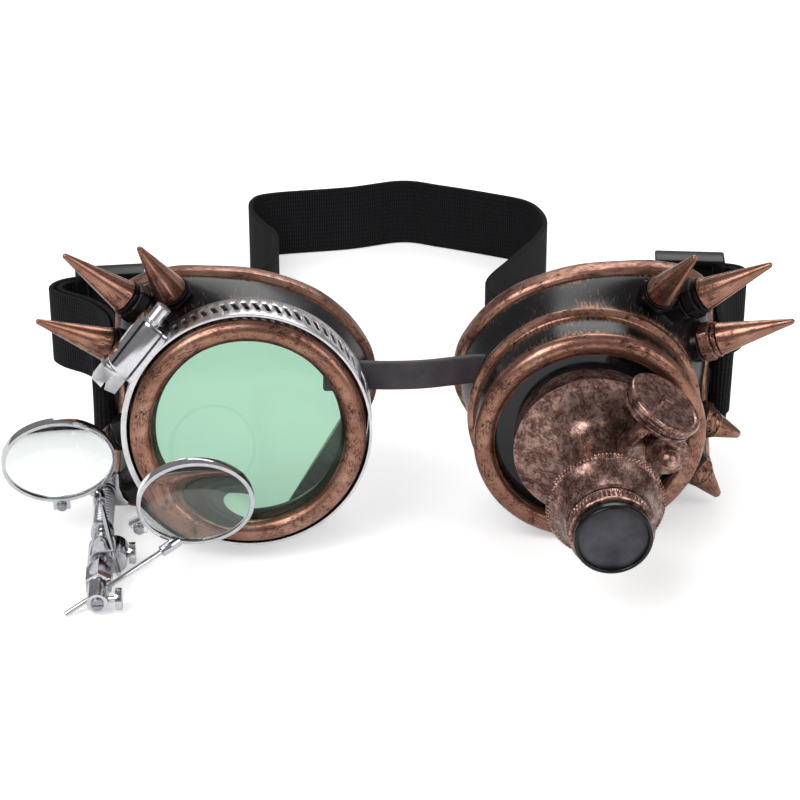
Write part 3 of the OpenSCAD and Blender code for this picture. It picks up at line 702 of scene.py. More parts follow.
@dataclass(frozen=True)
class TintedGlass(Finish):
    """Clear or tinted lens: see-through, with a slight film that varies."""

    tint: str = "#a6d2b8"
    ior: float = 1.5

    def material(self) -> bpy.types.Material:
        """Build the lens: transmission with faint smears in its roughness."""
        made, tree, shader, place = self.begin()
        shader.inputs["Base Color"].default_value = linear(self.tint)
        shader.inputs["Transmission Weight"].default_value = 1.0
        shader.inputs["IOR"].default_value = self.ior
        smear = self.noise(tree, place, (6.0, 6.0, 6.0), 4.0, 0.6)
        self.spread(tree, shader, smear, self.roughness, self.roughness + 0.012)
        return made


@dataclass(frozen=True)
class WovenElastic(Finish):
    """Black woven elastic: cross ribs 0.8 mm apart with fine thread rows along it."""

    rib: float = 0.8
    thread: float = 1.5
    dark: str = "#060507"
    light: str = "#211f23"

    def material(self) -> bpy.types.Material:
        """Build the weave: a wave along the strap times a wave across it."""
        made, tree, shader, place = self.begin()
        parts = add_node(tree, "ShaderNodeSeparateXYZ", links={"Vector": place})
        waves = []
        for axis, period in (("Y", self.rib), ("X", self.thread)):
            turn = add_node(tree, "ShaderNodeMath",
                            {"operation": "MULTIPLY", 1: 2 * math.pi / period},
                            {0: parts.outputs[axis]})
            wave = add_node(tree, "ShaderNodeMath", {"operation": "SINE"},
                            {0: turn.outputs[0]})
            waves.append(add_node(tree, "ShaderNodeMapRange",
                                  {"From Min": -1.0, "From Max": 1.0},
                                  {"Value": wave.outputs[0]}).outputs["Result"])
        both = add_node(tree, "ShaderNodeMath", {"operation": "MULTIPLY_ADD", 1: 0.35},
                        {0: waves[1], 2: waves[0]})
        fuzz = self.noise(tree, place, (0.5, 0.5, 0.5), 4.0, 0.6)
        total = add_node(tree, "ShaderNodeMath", {"operation": "MULTIPLY", 1: 1.0},
                         {0: both.outputs[0], 1: fuzz})
        colour = ramp(tree, total.outputs[0], ((0.1, self.dark), (0.75, self.light)))
        tree.links.new(colour, shader.inputs["Base Color"])
        shader.inputs["Specular IOR Level"].default_value = 0.2
        self.bump(tree, shader, both.outputs[0], 0.25, 0.7)
        return made


@dataclass(frozen=True)
class Moulded(Finish):
    """Moulded rubber or plastic: one deep colour with a soft, slightly uneven skin."""

    dark: str = "#141416"
    light: str = "#26262a"
    grit: float = 0.6
    depth: float = 0.03
    gloss: float = 0.5

    def material(self) -> bpy.types.Material:
        """Build the moulding: skin noise shades the colour and the gloss."""
        made, tree, shader, place = self.begin()
        skin = self.noise(tree, place, (self.grit,) * 3, 6.0, 0.6)
        broad = self.noise(tree, place, (7.0,) * 3, 3.0, 0.5)
        colour = ramp(tree, broad, ((0.3, self.dark), (0.7, self.light)))
        tree.links.new(colour, shader.inputs["Base Color"])
        shader.inputs["Specular IOR Level"].default_value = self.gloss
        self.spread(tree, shader, broad, self.roughness - 0.08, self.roughness + 0.1)
        self.bump(tree, shader, skin, self.depth, 0.4)
        return made


class Wardrobe:
    """Every finish of the goggles, made once."""

    def __init__(self) -> None:
        """Build all the materials."""
        uv = Grain.SURFACE
        # Copper plate on moulded plastic, blackened and rubbed back: a satin, warm sheen
        # under dark scratches. They are 0.3 mm wide, coarser than real ones, to show.
        self.ring_copper = AntiqueCopper("antiqued_copper_ring", uv, 0.9, 0.28,
                                         streak=(0.32, 1.1, 1.0), blot=4.5,
                                         cover=0.4).material()
        # The same plate on the cones, where the rubbing ran from foot to tip.
        self.spike_copper = AntiqueCopper("antiqued_copper_spike", uv, 0.92, 0.24,
                                          streak=(0.24, 3.0, 1.0), blot=5.0,
                                          cover=0.37).material()
        # The same plate on the beads, where hands and cloth keep it brighter.
        self.edge_copper = AntiqueCopper("rubbed_copper_edge", uv, 0.88, 0.32,
                                         streak=(0.3, 1.3, 1.0), cover=0.42,
                                         blot=4.0).material()
        # The same plate on the nuts, dark in its corners.
        self.nut_copper = AntiqueCopper("antiqued_copper_nut", Grain.OBJECT, 0.9, 0.3,
                                        streak=(0.6, 0.6, 0.6), blot=2.5,
                                        cover=0.48).material()
        # Black lacquer over that plate, rubbed through near its edges: a deep, smooth
        # gloss with copper scuffs.
        self.body = SmokedBody("smoked_cup_paint", uv, 0.0, 0.35).material()
        # Blackened steel: dark facets with a soft gloss.
        self.black_nut = Moulded("blackened_steel_nut", Grain.OBJECT, 0.6, 0.34,
                                 dark="#0c0a0b", light="#1d191b",
                                 gloss=0.3).material()
        # Rolled steel strip: bright, with broad soft reflections.
        self.clamp_steel = BrushedPlate("bright_clamp_steel", Grain.OBJECT, 1.0, 0.3,
                                        light="#f2f0f2", shade="#bcbabe").material()
        # Chrome plate: a near mirror, very slightly hazed by polishing marks.
        self.chrome = BrushedPlate("chrome_plate", Grain.OBJECT, 1.0, 0.14,
                                   light="#ececf0", shade="#b4b4bb").material()
        self.chrome_turned = BrushedPlate("chrome_plate_turned", uv, 1.0, 0.14,
                                          light="#ececf0", shade="#b4b4bb").material()
        # Bare turned steel: greyer and duller than the plate beside it.
        self.plain_steel = BrushedPlate("plain_steel", Grain.OBJECT, 1.0, 0.3,
                                        light="#b8b8be", shade="#7c7c84").material()
        # Bronze paint on turned plastic: brown, speckled with lighter metal.
        self.bronze = TurnedBronze("turned_bronze_paint", uv, 0.75, 0.36).material()
        self.bronze_plain = TurnedBronze("cast_bronze_paint", Grain.OBJECT, 0.75, 0.36,
                                         line=(1.2, 1.2, 1.2)).material()
        # Dyed acrylic, IOR 1.5: pale green and clear, darker where it is seen edge on.
        self.mint = TintedGlass("mint_lens", Grain.OBJECT, 0.0, 0.0).material()
        # Ground glass magnifier, IOR 1.5: clear, bending what lies behind it.
        self.clear = TintedGlass("clear_loupe_glass", Grain.OBJECT, 0.0, 0.0,
                                 tint="#f6faf8").material()
        # Black acrylic: an even dark gloss.
        self.smoke = Moulded("smoked_black_lens", Grain.OBJECT, 0.0, 0.12, dark="#0b0b0e",
                             light="#17181d", grit=4.0, depth=0.004).material()
        # The bronze paint made lighter and pinker for its edges: a painted highlight along them.
        self.highlight_bronze = TurnedBronze("bronze_paint_painted_highlight", Grain.OBJECT, 0.85, 0.3,
                                          dark="#46302b", middle="#8d665a",
                                          bright="#d3b0a2").material()
        # Scuffed dark acrylic under the eyepiece rim: its colour lifted to grey as a painted
        # highlight on the scuffs, with a dulled shine.
        self.lens_with_painted_highlight = Moulded("scuffed_lens_painted_highlight", Grain.OBJECT, 0.0, 0.2,
                                 dark="#1c1c21", light="#484850", grit=0.3,
                                 depth=0.05, gloss=0.35).material()
        # Woven polyester elastic: ribs 0.8 mm apart, which catch the light as fine lines.
        self.elastic = WovenElastic("black_woven_elastic", uv, 0.0, 0.8).material()
        # Moulded rubber: dark grey and matt.
        self.nose_rubber = Moulded("dark_grey_rubber", uv, 0.0, 0.55, dark="#2c282d",
                                   light="#453f46", grit=0.8).material()
        self.gasket = Moulded("black_seal_rubber", Grain.OBJECT, 0.0, 0.7).material()
        # Glossy black plastic: sharp highlights on the rim.
        self.eyepiece = Moulded("satin_black_plastic", uv, 0.0, 0.2, dark="#09090a",
                                light="#151517", gloss=0.4).material()
        # Acetal slider: black with a slight sheen.
        self.slider = Moulded("black_acetal", Grain.OBJECT, 0.0, 0.3, dark="#060607",
                              light="#101012", gloss=0.25).material()


def dress(node: str, material: bpy.types.Material, edge: float = 0.12,
          angle: float = 38.0) -> bpy.types.Object:
    """Finish a CAD node that stays: its material, softened edges and smooth faces.

    Args:
        node: The node's name.
        material: Its material.
        edge: Width of the softened edges in millimetres, or 0 for none.
        angle: Faces that meet flatter than this are shaded as one.

    Returns:
        The node's object.
    """
    obj = bpy.data.objects[node]
    obj.data.materials.clear()
    obj.data.materials.append(material)
    obj.data.polygons.foreach_set("use_smooth", np.ones(len(obj.data.polygons), bool))
    weld = obj.modifiers.new("merge", "WELD")
    weld.merge_threshold = 0.00001
    if edge > 0:
        soften = obj.modifiers.new("soft_edges", "BEVEL")
        soften.width = edge * MM
        soften.segments = 2
        soften.limit_method = "ANGLE"
        soften.angle_limit = math.radians(angle)
        soften.use_clamp_overlap = True
    split = obj.modifiers.new("crisp_edges", "EDGE_SPLIT")
    split.split_angle = math.radians(angle)
    LOG.info("%s: kept from the CAD", node)
    return obj


# Eyecups


OUTLINE = np.array([
    [-32.3, 1], [-31.5, 9], [-28.8, 15], [-24.2, 21], [-17.5, 26.4], [-9, 30.2],
    [0, 32.5], [10, 33.2], [19, 33.2], [28, 31], [33, 26.5], [34.5, 17], [34.5, 8],
    [34.2, 0], [35, -9], [36, -18], [36.5, -26], [33.5, -31], [25, -31.7], [12, -31.7],
    [0, -31.7], [-10, -31.4], [-15.8, -28.5], [-20.5, -21.5], [-27, -11], [-30.5, -5]])


@dataclass(frozen=True)
class Spike:
    """One cone: its foot on the cup, its direction, and whether it is a short one."""

    depth: float
    radius: float
    at: float
    bearing: float
    slope: float
    short: bool = False
    copper_nut: bool = False

    def frame(self, cup: Frame) -> Frame:
        """Frame at the foot with z along the spike."""
        t = math.radians(self.at)
        foot = cup.moved(self.radius * math.cos(t), self.radius * math.sin(t), self.depth)
        return foot.turned(self.bearing, self.slope)


@dataclass
class Eyecup:
    """One eyecup with its ring, lens, gasket and spikes."""

    side: str
    frame: Frame
    spikes: Sequence[Spike]
    wardrobe: Wardrobe
    barrel: float = 28.2
    ridge: float = 29.9
    wall: float = 2.2
    proud: float = 1.4
    pad: float = 6.5
    pad_bearing: float = 211.0
    bar_out: float = 38.4
    bar_half: float = 12.5
    bar_depth: float = 30.7
    nut_flats: float = 9.0
    cone_seat: float = 7.15

    def shell_profile(self) -> tuple[np.ndarray, np.ndarray]:
        """Section of the shell as depth, circle radius, share of the outline and inset.

        The flare goes from the circle to the outline by a share that eases in with depth.

        Returns:
            The section's points, and a slot number for each point's strip.
        """
        depth = np.array([-12.4, -14, -17, -20, -23, -26.1])
        share = np.array([0, 0.1, 0.33, 0.6, 0.83, 1.0])
        flare_a = np.linspace(-13.9, -25.7, 22)
        flare_s = np.interp(flare_a, depth[::-1], share[::-1])
        flare_s = np.convolve(np.pad(flare_s, 2, "edge"), np.ones(5) / 5, "valid")
        rows: list[tuple[float, float, float, float, int]] = []
        rows += [(a, r, 0, self.proud, s) for a, r, s in (
            (-1.3, 27.6, 0), (-1.45, 28.05, 0), (-1.9, self.barrel, 0),
            (-6, self.barrel, 0), (-10.9, self.barrel, 0), (-11.2, 28.5, 1),
            (-11.3, 29.2, 1), (-11.6, 29.7, 1), (-12.1, self.ridge, 1),
            (-12.7, self.ridge, 1), (-13.2, 29.7, 1), (-13.5, 29.3, 1), (-13.6, 29.0, 0))]
        rows += [(a, 28.8, s, self.proud, 0) for a, s in zip(flare_a, flare_s)]
        rows += [(-26.0, 28.8, 1, 1.5, 0), (-26.3, 28.8, 1, 2.1, 0), (-26.6, 28.8, 1, 2.1, 0),
                 (-26.8, 28.8, 1, 1.3, 1), (-27.0, 28.8, 1, 0.6, 1), (-27.6, 28.8, 1, 0.1, 1),
                 (-28.6, 28.8, 1, -0.1, 1), (-30.0, 28.8, 1, -0.15, 1),
                 (-31.4, 28.8, 1, -0.1, 1), (-32.3, 28.8, 1, 0.2, 1),
                 (-32.8, 28.8, 1, 0.8, 1), (-33.0, 28.8, 1, 1.5, 0),
                 (-33.0, 28.8, 1, 2.9, 0), (-32.6, 28.8, 1, 3.5, 0)]
        inset = self.proud + self.wall
        rows += [(a, 26.9, s, inset, 0) for a, s in zip(flare_a[::-1], flare_s[::-1])]
        rows += [(a, r, 0, inset, 0) for a, r in (
            (-12.6, 26.6), (-9.3, 26.4), (-9.0, 26.2), (-9.0, 22.9), (-8.8, 22.8),
            (-4.6, 22.8), (-4.4, 23.0), (-4.4, 24.4), (-4.6, 24.6), (-7.2, 24.6),
            (-7.2, 26.2), (-1.5, 26.2), (-1.3, 26.5))]
        table = np.array([row[:4] for row in rows])
        return table, np.array([row[4] for row in rows])

    def shell(self) -> Surface:
        """The shell: each section point is a blend between a circle and the outline.

        At every step round, a point is the circle's point plus its share of the way to
        the outline's point pulled in by the inset. Below the nose a straight chord
        bounds the inside of the rear rim.
        """
        table, slots = self.shell_profile()
        line = spline(OUTLINE, 8, closed=True)
        length = np.linalg.norm(line, axis=1)[:, None]
        way = line / length
        near = way[:, None] * table[None, :, 1:2]
        facing = np.cos(np.arctan2(line[:, 1], line[:, 0]) - math.radians(self.pad_bearing))
        reach = length - table[None, :, 3]
        level = (reach * facing[:, None]).max(0) - self.pad
        over = np.maximum(reach - level / np.maximum(facing, 0.2)[:, None], 0)
        lined = (table[:, 3] > 2.5) & (table[:, 2] > 0.95)
        inset = table[None, :, 3] + over * lined[None, :]
        far = line[:, None] * (1 - inset[..., None] / length[:, None, :])
        flat = near + table[None, :, 2:3] * (far - near)
        depth = np.broadcast_to(table[None, :, 0:1], (*flat.shape[:2], 1))
        rings = self.handed.put(np.concatenate([flat, depth], -1))
        made = tube_surface(rings, wrap=True)
        made.slots = np.tile(slots, len(line))
        edge = table[slots == 1]
        gap = np.abs(table[:, None, 0] - edge[None, :, 0]).min(1)
        front = np.abs(table[:, 0] + 1.3)
        worn = np.exp(-np.minimum(gap / 1.3, front / 1.8))
        made.wear = np.tile(worn, len(line))
        return made

    @property
    def handed(self) -> Frame:
        """The cup's frame with its temple side along +x."""
        return self.frame if self.side == "right" else self.frame.mirrored()

    def ears(self) -> Surface:
        """The two ears that hold the strap bar, and the seats under the spikes."""
        parts = []
        for v in (-self.bar_half, self.bar_half):
            base = self.handed.moved(self.bar_out, v, -self.bar_depth)
            ear = Frame(base.origin, base.z, base.x, base.y)
            parts.append(solid_turned(ear, [[2.3, -1.2], [2.3, 1.2]], 32, 0.3))
            ring = rounded([[-2.3, 0], [2.3, 0], [2.3, -5], [-2.3, -5]], 0.3)
            local = np.stack([np.column_stack([ring, np.full(len(ring), h)])
                              for h in (-1.2, 1.2)])
            parts.append(tube_surface(ear.put(local)))
        for spike in self.spikes:
            parts.append(solid_turned(spike.frame(self.frame), [[4.7, -3.8], [4.7, 2.1],
                                                                [4.6, 2.3]], 48, 0.2))
            parts.append(solid_turned(spike.frame(self.frame), [[3.3, -5.8], [3.3, -3]], 40))
        return Surface.joined(parts)

    def cones(self) -> Surface:
        """Every cone of this cup: a line from base to tip with a small round nose."""
        parts = []
        for spike in self.spikes:
            base, tall = (3.6, 8.5) if spike.short else (4.25, 20.0)
            tip = 0.9 if spike.short else 0.6
            h = np.linspace(0.35, tall - tip * 0.7, 14)
            line = [[base - 0.3, 0], [base, 0.35]]
            line += [[base + (tip - base) * x / tall, x] for x in h[1:]]
            line += [[tip * 0.7, tall - 0.25], [tip * 0.3, tall]]
            frame = spike.frame(self.frame).moved(0, 0, self.cone_seat)
            parts.append(solid_turned(frame, line, 56, 0.1))
        return Surface.joined(parts)

    def nuts(self) -> Surface:
        """The hex nuts under the cones, their corners chamfered at both ends.

        Each end's outline is the hexagon drawn in a little over the last half millimetre.
        """
        turn = np.radians(np.arange(0, 360, 60))
        hexagon = rounded(np.stack([np.cos(turn), np.sin(turn)], 1) * self.nut_flats / 2
                          / math.cos(math.radians(30)), 0.5, 3)
        parts = []
        for spike in self.spikes:
            frame = spike.frame(self.frame)
            rows = ((2.35, 0.9), (2.8, 1.0), (5.3, 1.0), (5.85, 0.88))
            local = np.stack([np.column_stack([hexagon * k, np.full(len(hexagon), z)])
                              for z, k in rows])
            part = tube_surface(frame.put(local))
            part.slots[:] = int(spike.copper_nut)
            parts.append(part)
        return Surface.joined(parts)

    def collars(self) -> Surface:
        """The dark rings between the nuts and the cones."""
        parts = []
        for spike in self.spikes:
            r = 3.9 if spike.short else 4.6
            part = solid_turned(spike.frame(self.frame), [[r, 5.9], [r, 7.1]], 48, 0.35)
            part.slots[:] = int(spike.copper_nut)
            parts.append(part)
        return Surface.joined(parts)

    def ring(self) -> Surface:
        """The lens ring: a rounded bead with a skirt that runs into the cup."""
        bead = [[24, -1], [24, 1.3]] + [
            [26.62 + 2.63 * math.cos(t), 0.25 + 2.35 * math.sin(t)]
            for t in np.linspace(math.radians(160), math.radians(-18), 17)]
        skirt = [[28.3, -1], [26.1, -1], [26.1, -7], [24.8, -7], [24.8, -1]]
        return revolved(self.frame, rounded(bead + skirt, 0.15, 2), 160)

    def build(self) -> None:
        """Make and dress this cup's pieces."""
        w, s = self.wardrobe, self.side
        body = "frame_body"
        make_piece(f"{s}_cup", self.shell(), [w.body, w.edge_copper], body,
                   [f"{s}_cup_shell"], 28)
        make_piece(f"{s}_cup_ears", self.ears(), [w.body], body, [])
        make_piece(f"{s}_cones", self.cones(), [w.spike_copper], body,
                   [f"{s}_spikes"])
        make_piece(f"{s}_ring", self.ring(), [w.ring_copper], f"{s}_ring_body",
                   [f"{s}_lens_ring"])
        if s == "left":
            dress("left_lens", w.mint, 0.2)
        else:
            dress("right_lens", w.smoke, 0.2)
        dress(f"{s}_lens_gasket", w.gasket, 0.1)
        dress(f"{s}_spike_screws", w.plain_steel, 0.15)
        looks = [w.black_nut, w.nut_copper]
        make_piece(f"{s}_nuts", self.nuts(), looks, body, [f"{s}_spike_nuts"])
        make_piece(f"{s}_collars", self.collars(), looks, body, [f"{s}_spike_collars"])


# Ocular


@dataclass
class Ocular:
    """The focusing ocular that stands on the right lens."""

    wardrobe: Wardrobe
    frame: Frame = field(default_factory=lambda: RIGHT)

    def bell(self) -> Surface:
        """The bell, neck, flange and dome as one turned shell."""
        flare = spline(np.array([[19.7, 5.75], [17.4, 6.15], [14.6, 7.1], [11, 8.8],
                                 [8.7, 11], [7.4, 14], [6.85, 18], [6.8, 23], [6.9, 26.4],
                                 [7.3, 28.3], [8.6, 29.9], [11.6, 31.0], [13.4, 31.35]]), 5)
        bead = np.array([[13.7 + 0.75 * math.cos(t), 32.4 + 1.0 * math.sin(t)]
                         for t in np.linspace(-1.45, 1.45, 9)])
        dome = spline(np.array([[13.5, 33.45], [12.9, 34.3], [12.0, 35.6], [11.35, 37],
                                [10.95, 38.5], [10.7, 40.2]]), 4)
        lip = [[19, -1.05], [19, 4.7], [19.35, 4.9], [19.7, 5.1]]
        inside = [[10.4, 40.7], [8.6, 40.7], [8.6, 34.5], [5.6, 34.5], [5.6, 13],
                  [7.5, 9.8], [10, 7.4], [14, 5.2], [17.8, 4.2], [17.8, -1.05]]
        line = np.vstack([lip, flare, bead, dome, inside])
        cut = np.zeros(len(line))
        first = len(lip) + len(flare)
        cut[first + 1:first + len(bead) - 1] = 0.32
        # The bead and the lip get the lighter bronze: a painted highlight along these edges.
        bright = cut > 0
        bright[1:len(lip)] = True
        return self.paint_highlight_strips(self.notched(line, cut, 96), bright)

    def paint_highlight_strips(self, made: Surface, bright: np.ndarray) -> Surface:
        """Give a turned piece its second finish, a painted highlight, on some strips of the
        profile.

        Args:
            made: A piece turned all the way round.
            bright: Whether the strip after each profile point gets the painted highlight.

        Returns:
            The same piece.
        """
        made.slots = np.tile(bright.astype(int), len(made.faces) // len(bright))
        return made

    def notched(self, line: np.ndarray, cut: np.ndarray, count: int) -> Surface:
        """Turn a profile with notches cut into some of its points.

        A point's radius is its own less its cut times a clipped cosine of the turn.

        Args:
            line: Radius and height of the profile's points.
            cut: Depth of the notch at each point.
            count: Notches round the axis.

        Returns:
            The surface.
        """
        turn = np.linspace(0, 2 * np.pi, count * 6, endpoint=False)
        dip = np.clip(1.5 * np.cos(count * turn) - 0.2, 0, 1)
        r = line[None, :, 0] - dip[:, None] * cut[None, :]
        z = np.broadcast_to(line[None, :, 1], r.shape)
        local = np.stack([r * np.cos(turn)[:, None], r * np.sin(turn)[:, None], z], -1)
        return tube_surface(self.frame.put(local), wrap=True)

    def knurled_ring(self) -> Surface:
        """The focus ring, with fine grooves round the middle of its grip."""
        rows = [(8.0, 36, 0), (8.5, 36, 0), (8.5, 41, 0), (9.9, 41, 0), (10.2, 41.3, 0),
                (10.2, 41.5, 0), (10.2, 41.8, 1), (10.2, 44.2, 1), (10.2, 44.5, 0),
                (10.2, 44.7, 0), (9.9, 45, 0), (8.0, 45, 0)]
        table = np.array(rows)
        # The grip's two outer edges get the lighter bronze: a painted highlight.
        edge = (table[:, 0] > 9.8) & (np.abs(table[:, 1] - 43) > 1.4)
        return self.paint_highlight_strips(self.notched(table[:, :2], 0.45 * table[:, 2], 60), edge)

    def eyepiece(self) -> Surface:
        """The eyepiece tube with its flared black rim."""
        line = [[7.1, 35.5], [7.9, 35.5], [7.9, 45.2], [9.2, 45.2], [9.4, 46.0], [9.45, 47.2],
                [9.2, 47.9], [8.8, 48.1], [8.4, 47.9], [8.3, 47.4], [8.3, 46.2], [7.1, 46.2]]
        return revolved(self.frame, rounded(line, 0.15, 2), 96)

    def disc_frame(self) -> Frame:
        """Frame of the side disc, z out of its face."""
        return self.frame.moved(16.3, 17.5, 14).turned(59, 9)

    def disc(self) -> Surface:
        """The side disc: a dished face inside a raised edge."""
        line = [[2.1, -1.6], [9.7, -1.6], [10, -1.3], [10, -0.4], [9.6, 0], [8.9, 0],
                [8.3, -0.35], [3.0, -0.35], [2.1, -0.3]]
        outline = rounded(line, 0.12, 2)
        # The raised edge gets the lighter bronze: a painted highlight.
        return self.paint_highlight_strips(revolved(self.disc_frame(), outline, 96), outline[:, 0] > 8.6)

    def build(self) -> None:
        """Make and dress the ocular's pieces."""
        w = self.wardrobe
        lens = "right_lens_body"
        make_piece("ocular_turned_bell", self.bell(), [w.bronze, w.highlight_bronze], lens,
                   ["ocular_bell"], 40)
        make_piece("focus_grip", self.knurled_ring(), [w.bronze, w.highlight_bronze],
                   "focus_body", ["focus_ring"], 30)
        make_piece("eyepiece_cup", self.eyepiece(), [w.eyepiece], "eyepiece_body",
                   ["eyepiece_rim"])
        dress("side_post", w.bronze_plain, 0.15)
        make_piece("side_disc_face", self.disc(), [w.bronze, w.highlight_bronze],
                   "side_disc_body", ["side_disc"])
        # The eyepiece lens is lightened to grey: a painted highlight.
        dress("eyepiece_lens", w.lens_with_painted_highlight, 0.15)
        dress("side_drum", w.bronze_plain, 0.15)
        dress("disc_arbor", w.bronze_plain, 0.15)
        dress("drum_strut", w.bronze_plain, 0.15)
        # The post nut is all in the lighter bronze of the painted highlight.
        dress("post_nut", w.highlight_bronze, 0.15)


# Clamp, clip and loupes


ROD_TIP = np.array([-78.4, -30.8, 2.9])


def rod_frame() -> Frame:
    """Frame of the clip rod: x to the right, y down, z along the rod."""
    turned = WORLD.moved(*ROD_TIP).turned(94.3, 3.15)
    return Frame(turned.origin, -turned.y, turned.x, turned.z)


@dataclass
class ClipAndLoupes:
    """The sprung clip, its rod, blocks, arms and the two loupes."""

    wardrobe: Wardrobe
    coil_start: float = 33.6
    coil_end: float = 51.4
    coil_radius: float = 2.25
    wire: float = 0.45
    turns: float = 11.0
    jaw_travel: float = 5.0
    worm_bearing: float = 141.5
    housing_foot: float = 30.2

    def coil(self) -> Surface:
        """The spring: straight foot, quarter bend, turns, quarter bend, straight foot.

        The wire's centre is at the coil radius, its turn grows steadily with height, and
        each ring of the skin is a circle square to the wire.
        """
        bend, r = 0.8, self.coil_radius
        low = self.coil_start + 2 * self.wire + bend
        high = self.coil_end - 2 * self.wire - bend
        sweep = bend / r
        b = np.linspace(0, np.pi / 2, 7)[:-1]
        steps = np.linspace(0, 1, int(24 * self.turns) + 1)
        turn = np.concatenate([[0, 0], sweep * (1 - np.cos(b)),
                               sweep + steps * 2 * np.pi * self.turns,
                               sweep + 2 * np.pi * self.turns + sweep * np.cos(b[::-1]),
                               np.full(2, 2 * sweep + 2 * np.pi * self.turns)])
        height = np.concatenate([[self.coil_start, self.coil_start + self.wire],
                                 low - bend + bend * np.sin(b), low + steps * (high - low),
                                 high + bend - bend * np.sin(b[::-1]),
                                 [self.coil_end - self.wire, self.coil_end]])
        out = np.stack([np.cos(turn), np.sin(turn), np.zeros_like(turn)], 1)
        path = out * r + np.stack([0 * height, 0 * height, height], 1)
        t = np.gradient(path, axis=0)
        t /= np.linalg.norm(t, axis=1, keepdims=True)
        n = out - (out * t).sum(1, keepdims=True) * t
        n /= np.linalg.norm(n, axis=1, keepdims=True)
        side = np.cross(t, n)
        ring = np.linspace(0, 2 * np.pi, 12, endpoint=False)
        rings = (path[:, None] + self.wire * (np.cos(ring)[None, :, None] * n[:, None]
                                              + np.sin(ring)[None, :, None] * side[:, None]))
        return tube_surface(rod_frame().put(rings))

    def housing(self) -> Surface:
        """The worm housing: one arched section carried along the worm, its ends drawn in."""
        arch = spline(np.array([[-11.9, 31.5], [-12.0, 33.4], [-11.1, 36.0], [-8.8, 37.8],
                                [-6, 38.25], [-3.2, 37.8], [-1.1, 36.0], [-0.4, 33.4],
                                [-0.3, 31.9]]), 4)
        foot = np.array([[0.5, 31.4], [0.5, self.housing_foot], [-12.0, self.housing_foot]])
        section = np.vstack([arch, foot])
        middle = np.array([-6.0, 33.0])
        t = math.radians(self.worm_bearing)
        out = math.cos(t) * LEFT.x + math.sin(t) * LEFT.y
        along = math.sin(t) * LEFT.x - math.cos(t) * LEFT.y
        frame = Frame(LEFT.origin, LEFT.z, out, along)
        rows = ((-7.5, 0.93), (-7.1, 0.98), (-6.6, 1.0), (6.6, 1.0), (7.1, 0.98), (7.5, 0.93))
        local = np.stack([np.column_stack([middle + (section - middle) * k,
                                           np.full(len(section), x)]) for x, k in rows])
        local[..., 1] = np.maximum(local[..., 1], self.housing_foot)
        return tube_surface(frame.put(local))

    def build(self) -> None:
        """Make and dress the clip, its rod and both loupes."""
        w = self.wardrobe
        coil = make_piece("clip_coil", self.coil(), [w.chrome_turned], "frame_body",
                          ["clip_spring"], 60)
        rod = rod_frame()
        anchor = rod.put(np.array([0, 0, self.coil_start])) * MM
        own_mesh(coil)
        for n in (1, 2):
            dress(f"loupe_rim_{n}", w.chrome, 0.15)
            dress(f"loupe_lens_{n}", w.clear, 0.1)
            dress(f"rim_lock_{n}", w.plain_steel, 0.1)
            dress(f"arm_{n}", w.chrome, 0.12)
            dress(f"block_{n}", w.chrome, 0.3)
            dress(f"thumb_screw_{n}", w.chrome, 0.25)
        for node in ("clip_rod", "rod_collar", "sliding_jaw", "fixed_jaw", "jaw_nut"):
            dress(node, w.chrome, 0.2)
        dress("end_screw_2", w.plain_steel, 0.1)
        dress("clamp_band", w.clamp_steel, 0.06)
        make_piece("housing_barrel", self.housing(), [w.chrome], "frame_body",
                   ["clamp_housing"], 40)
        dress("clamp_screw", w.clamp_steel, 0.2)


# Straps


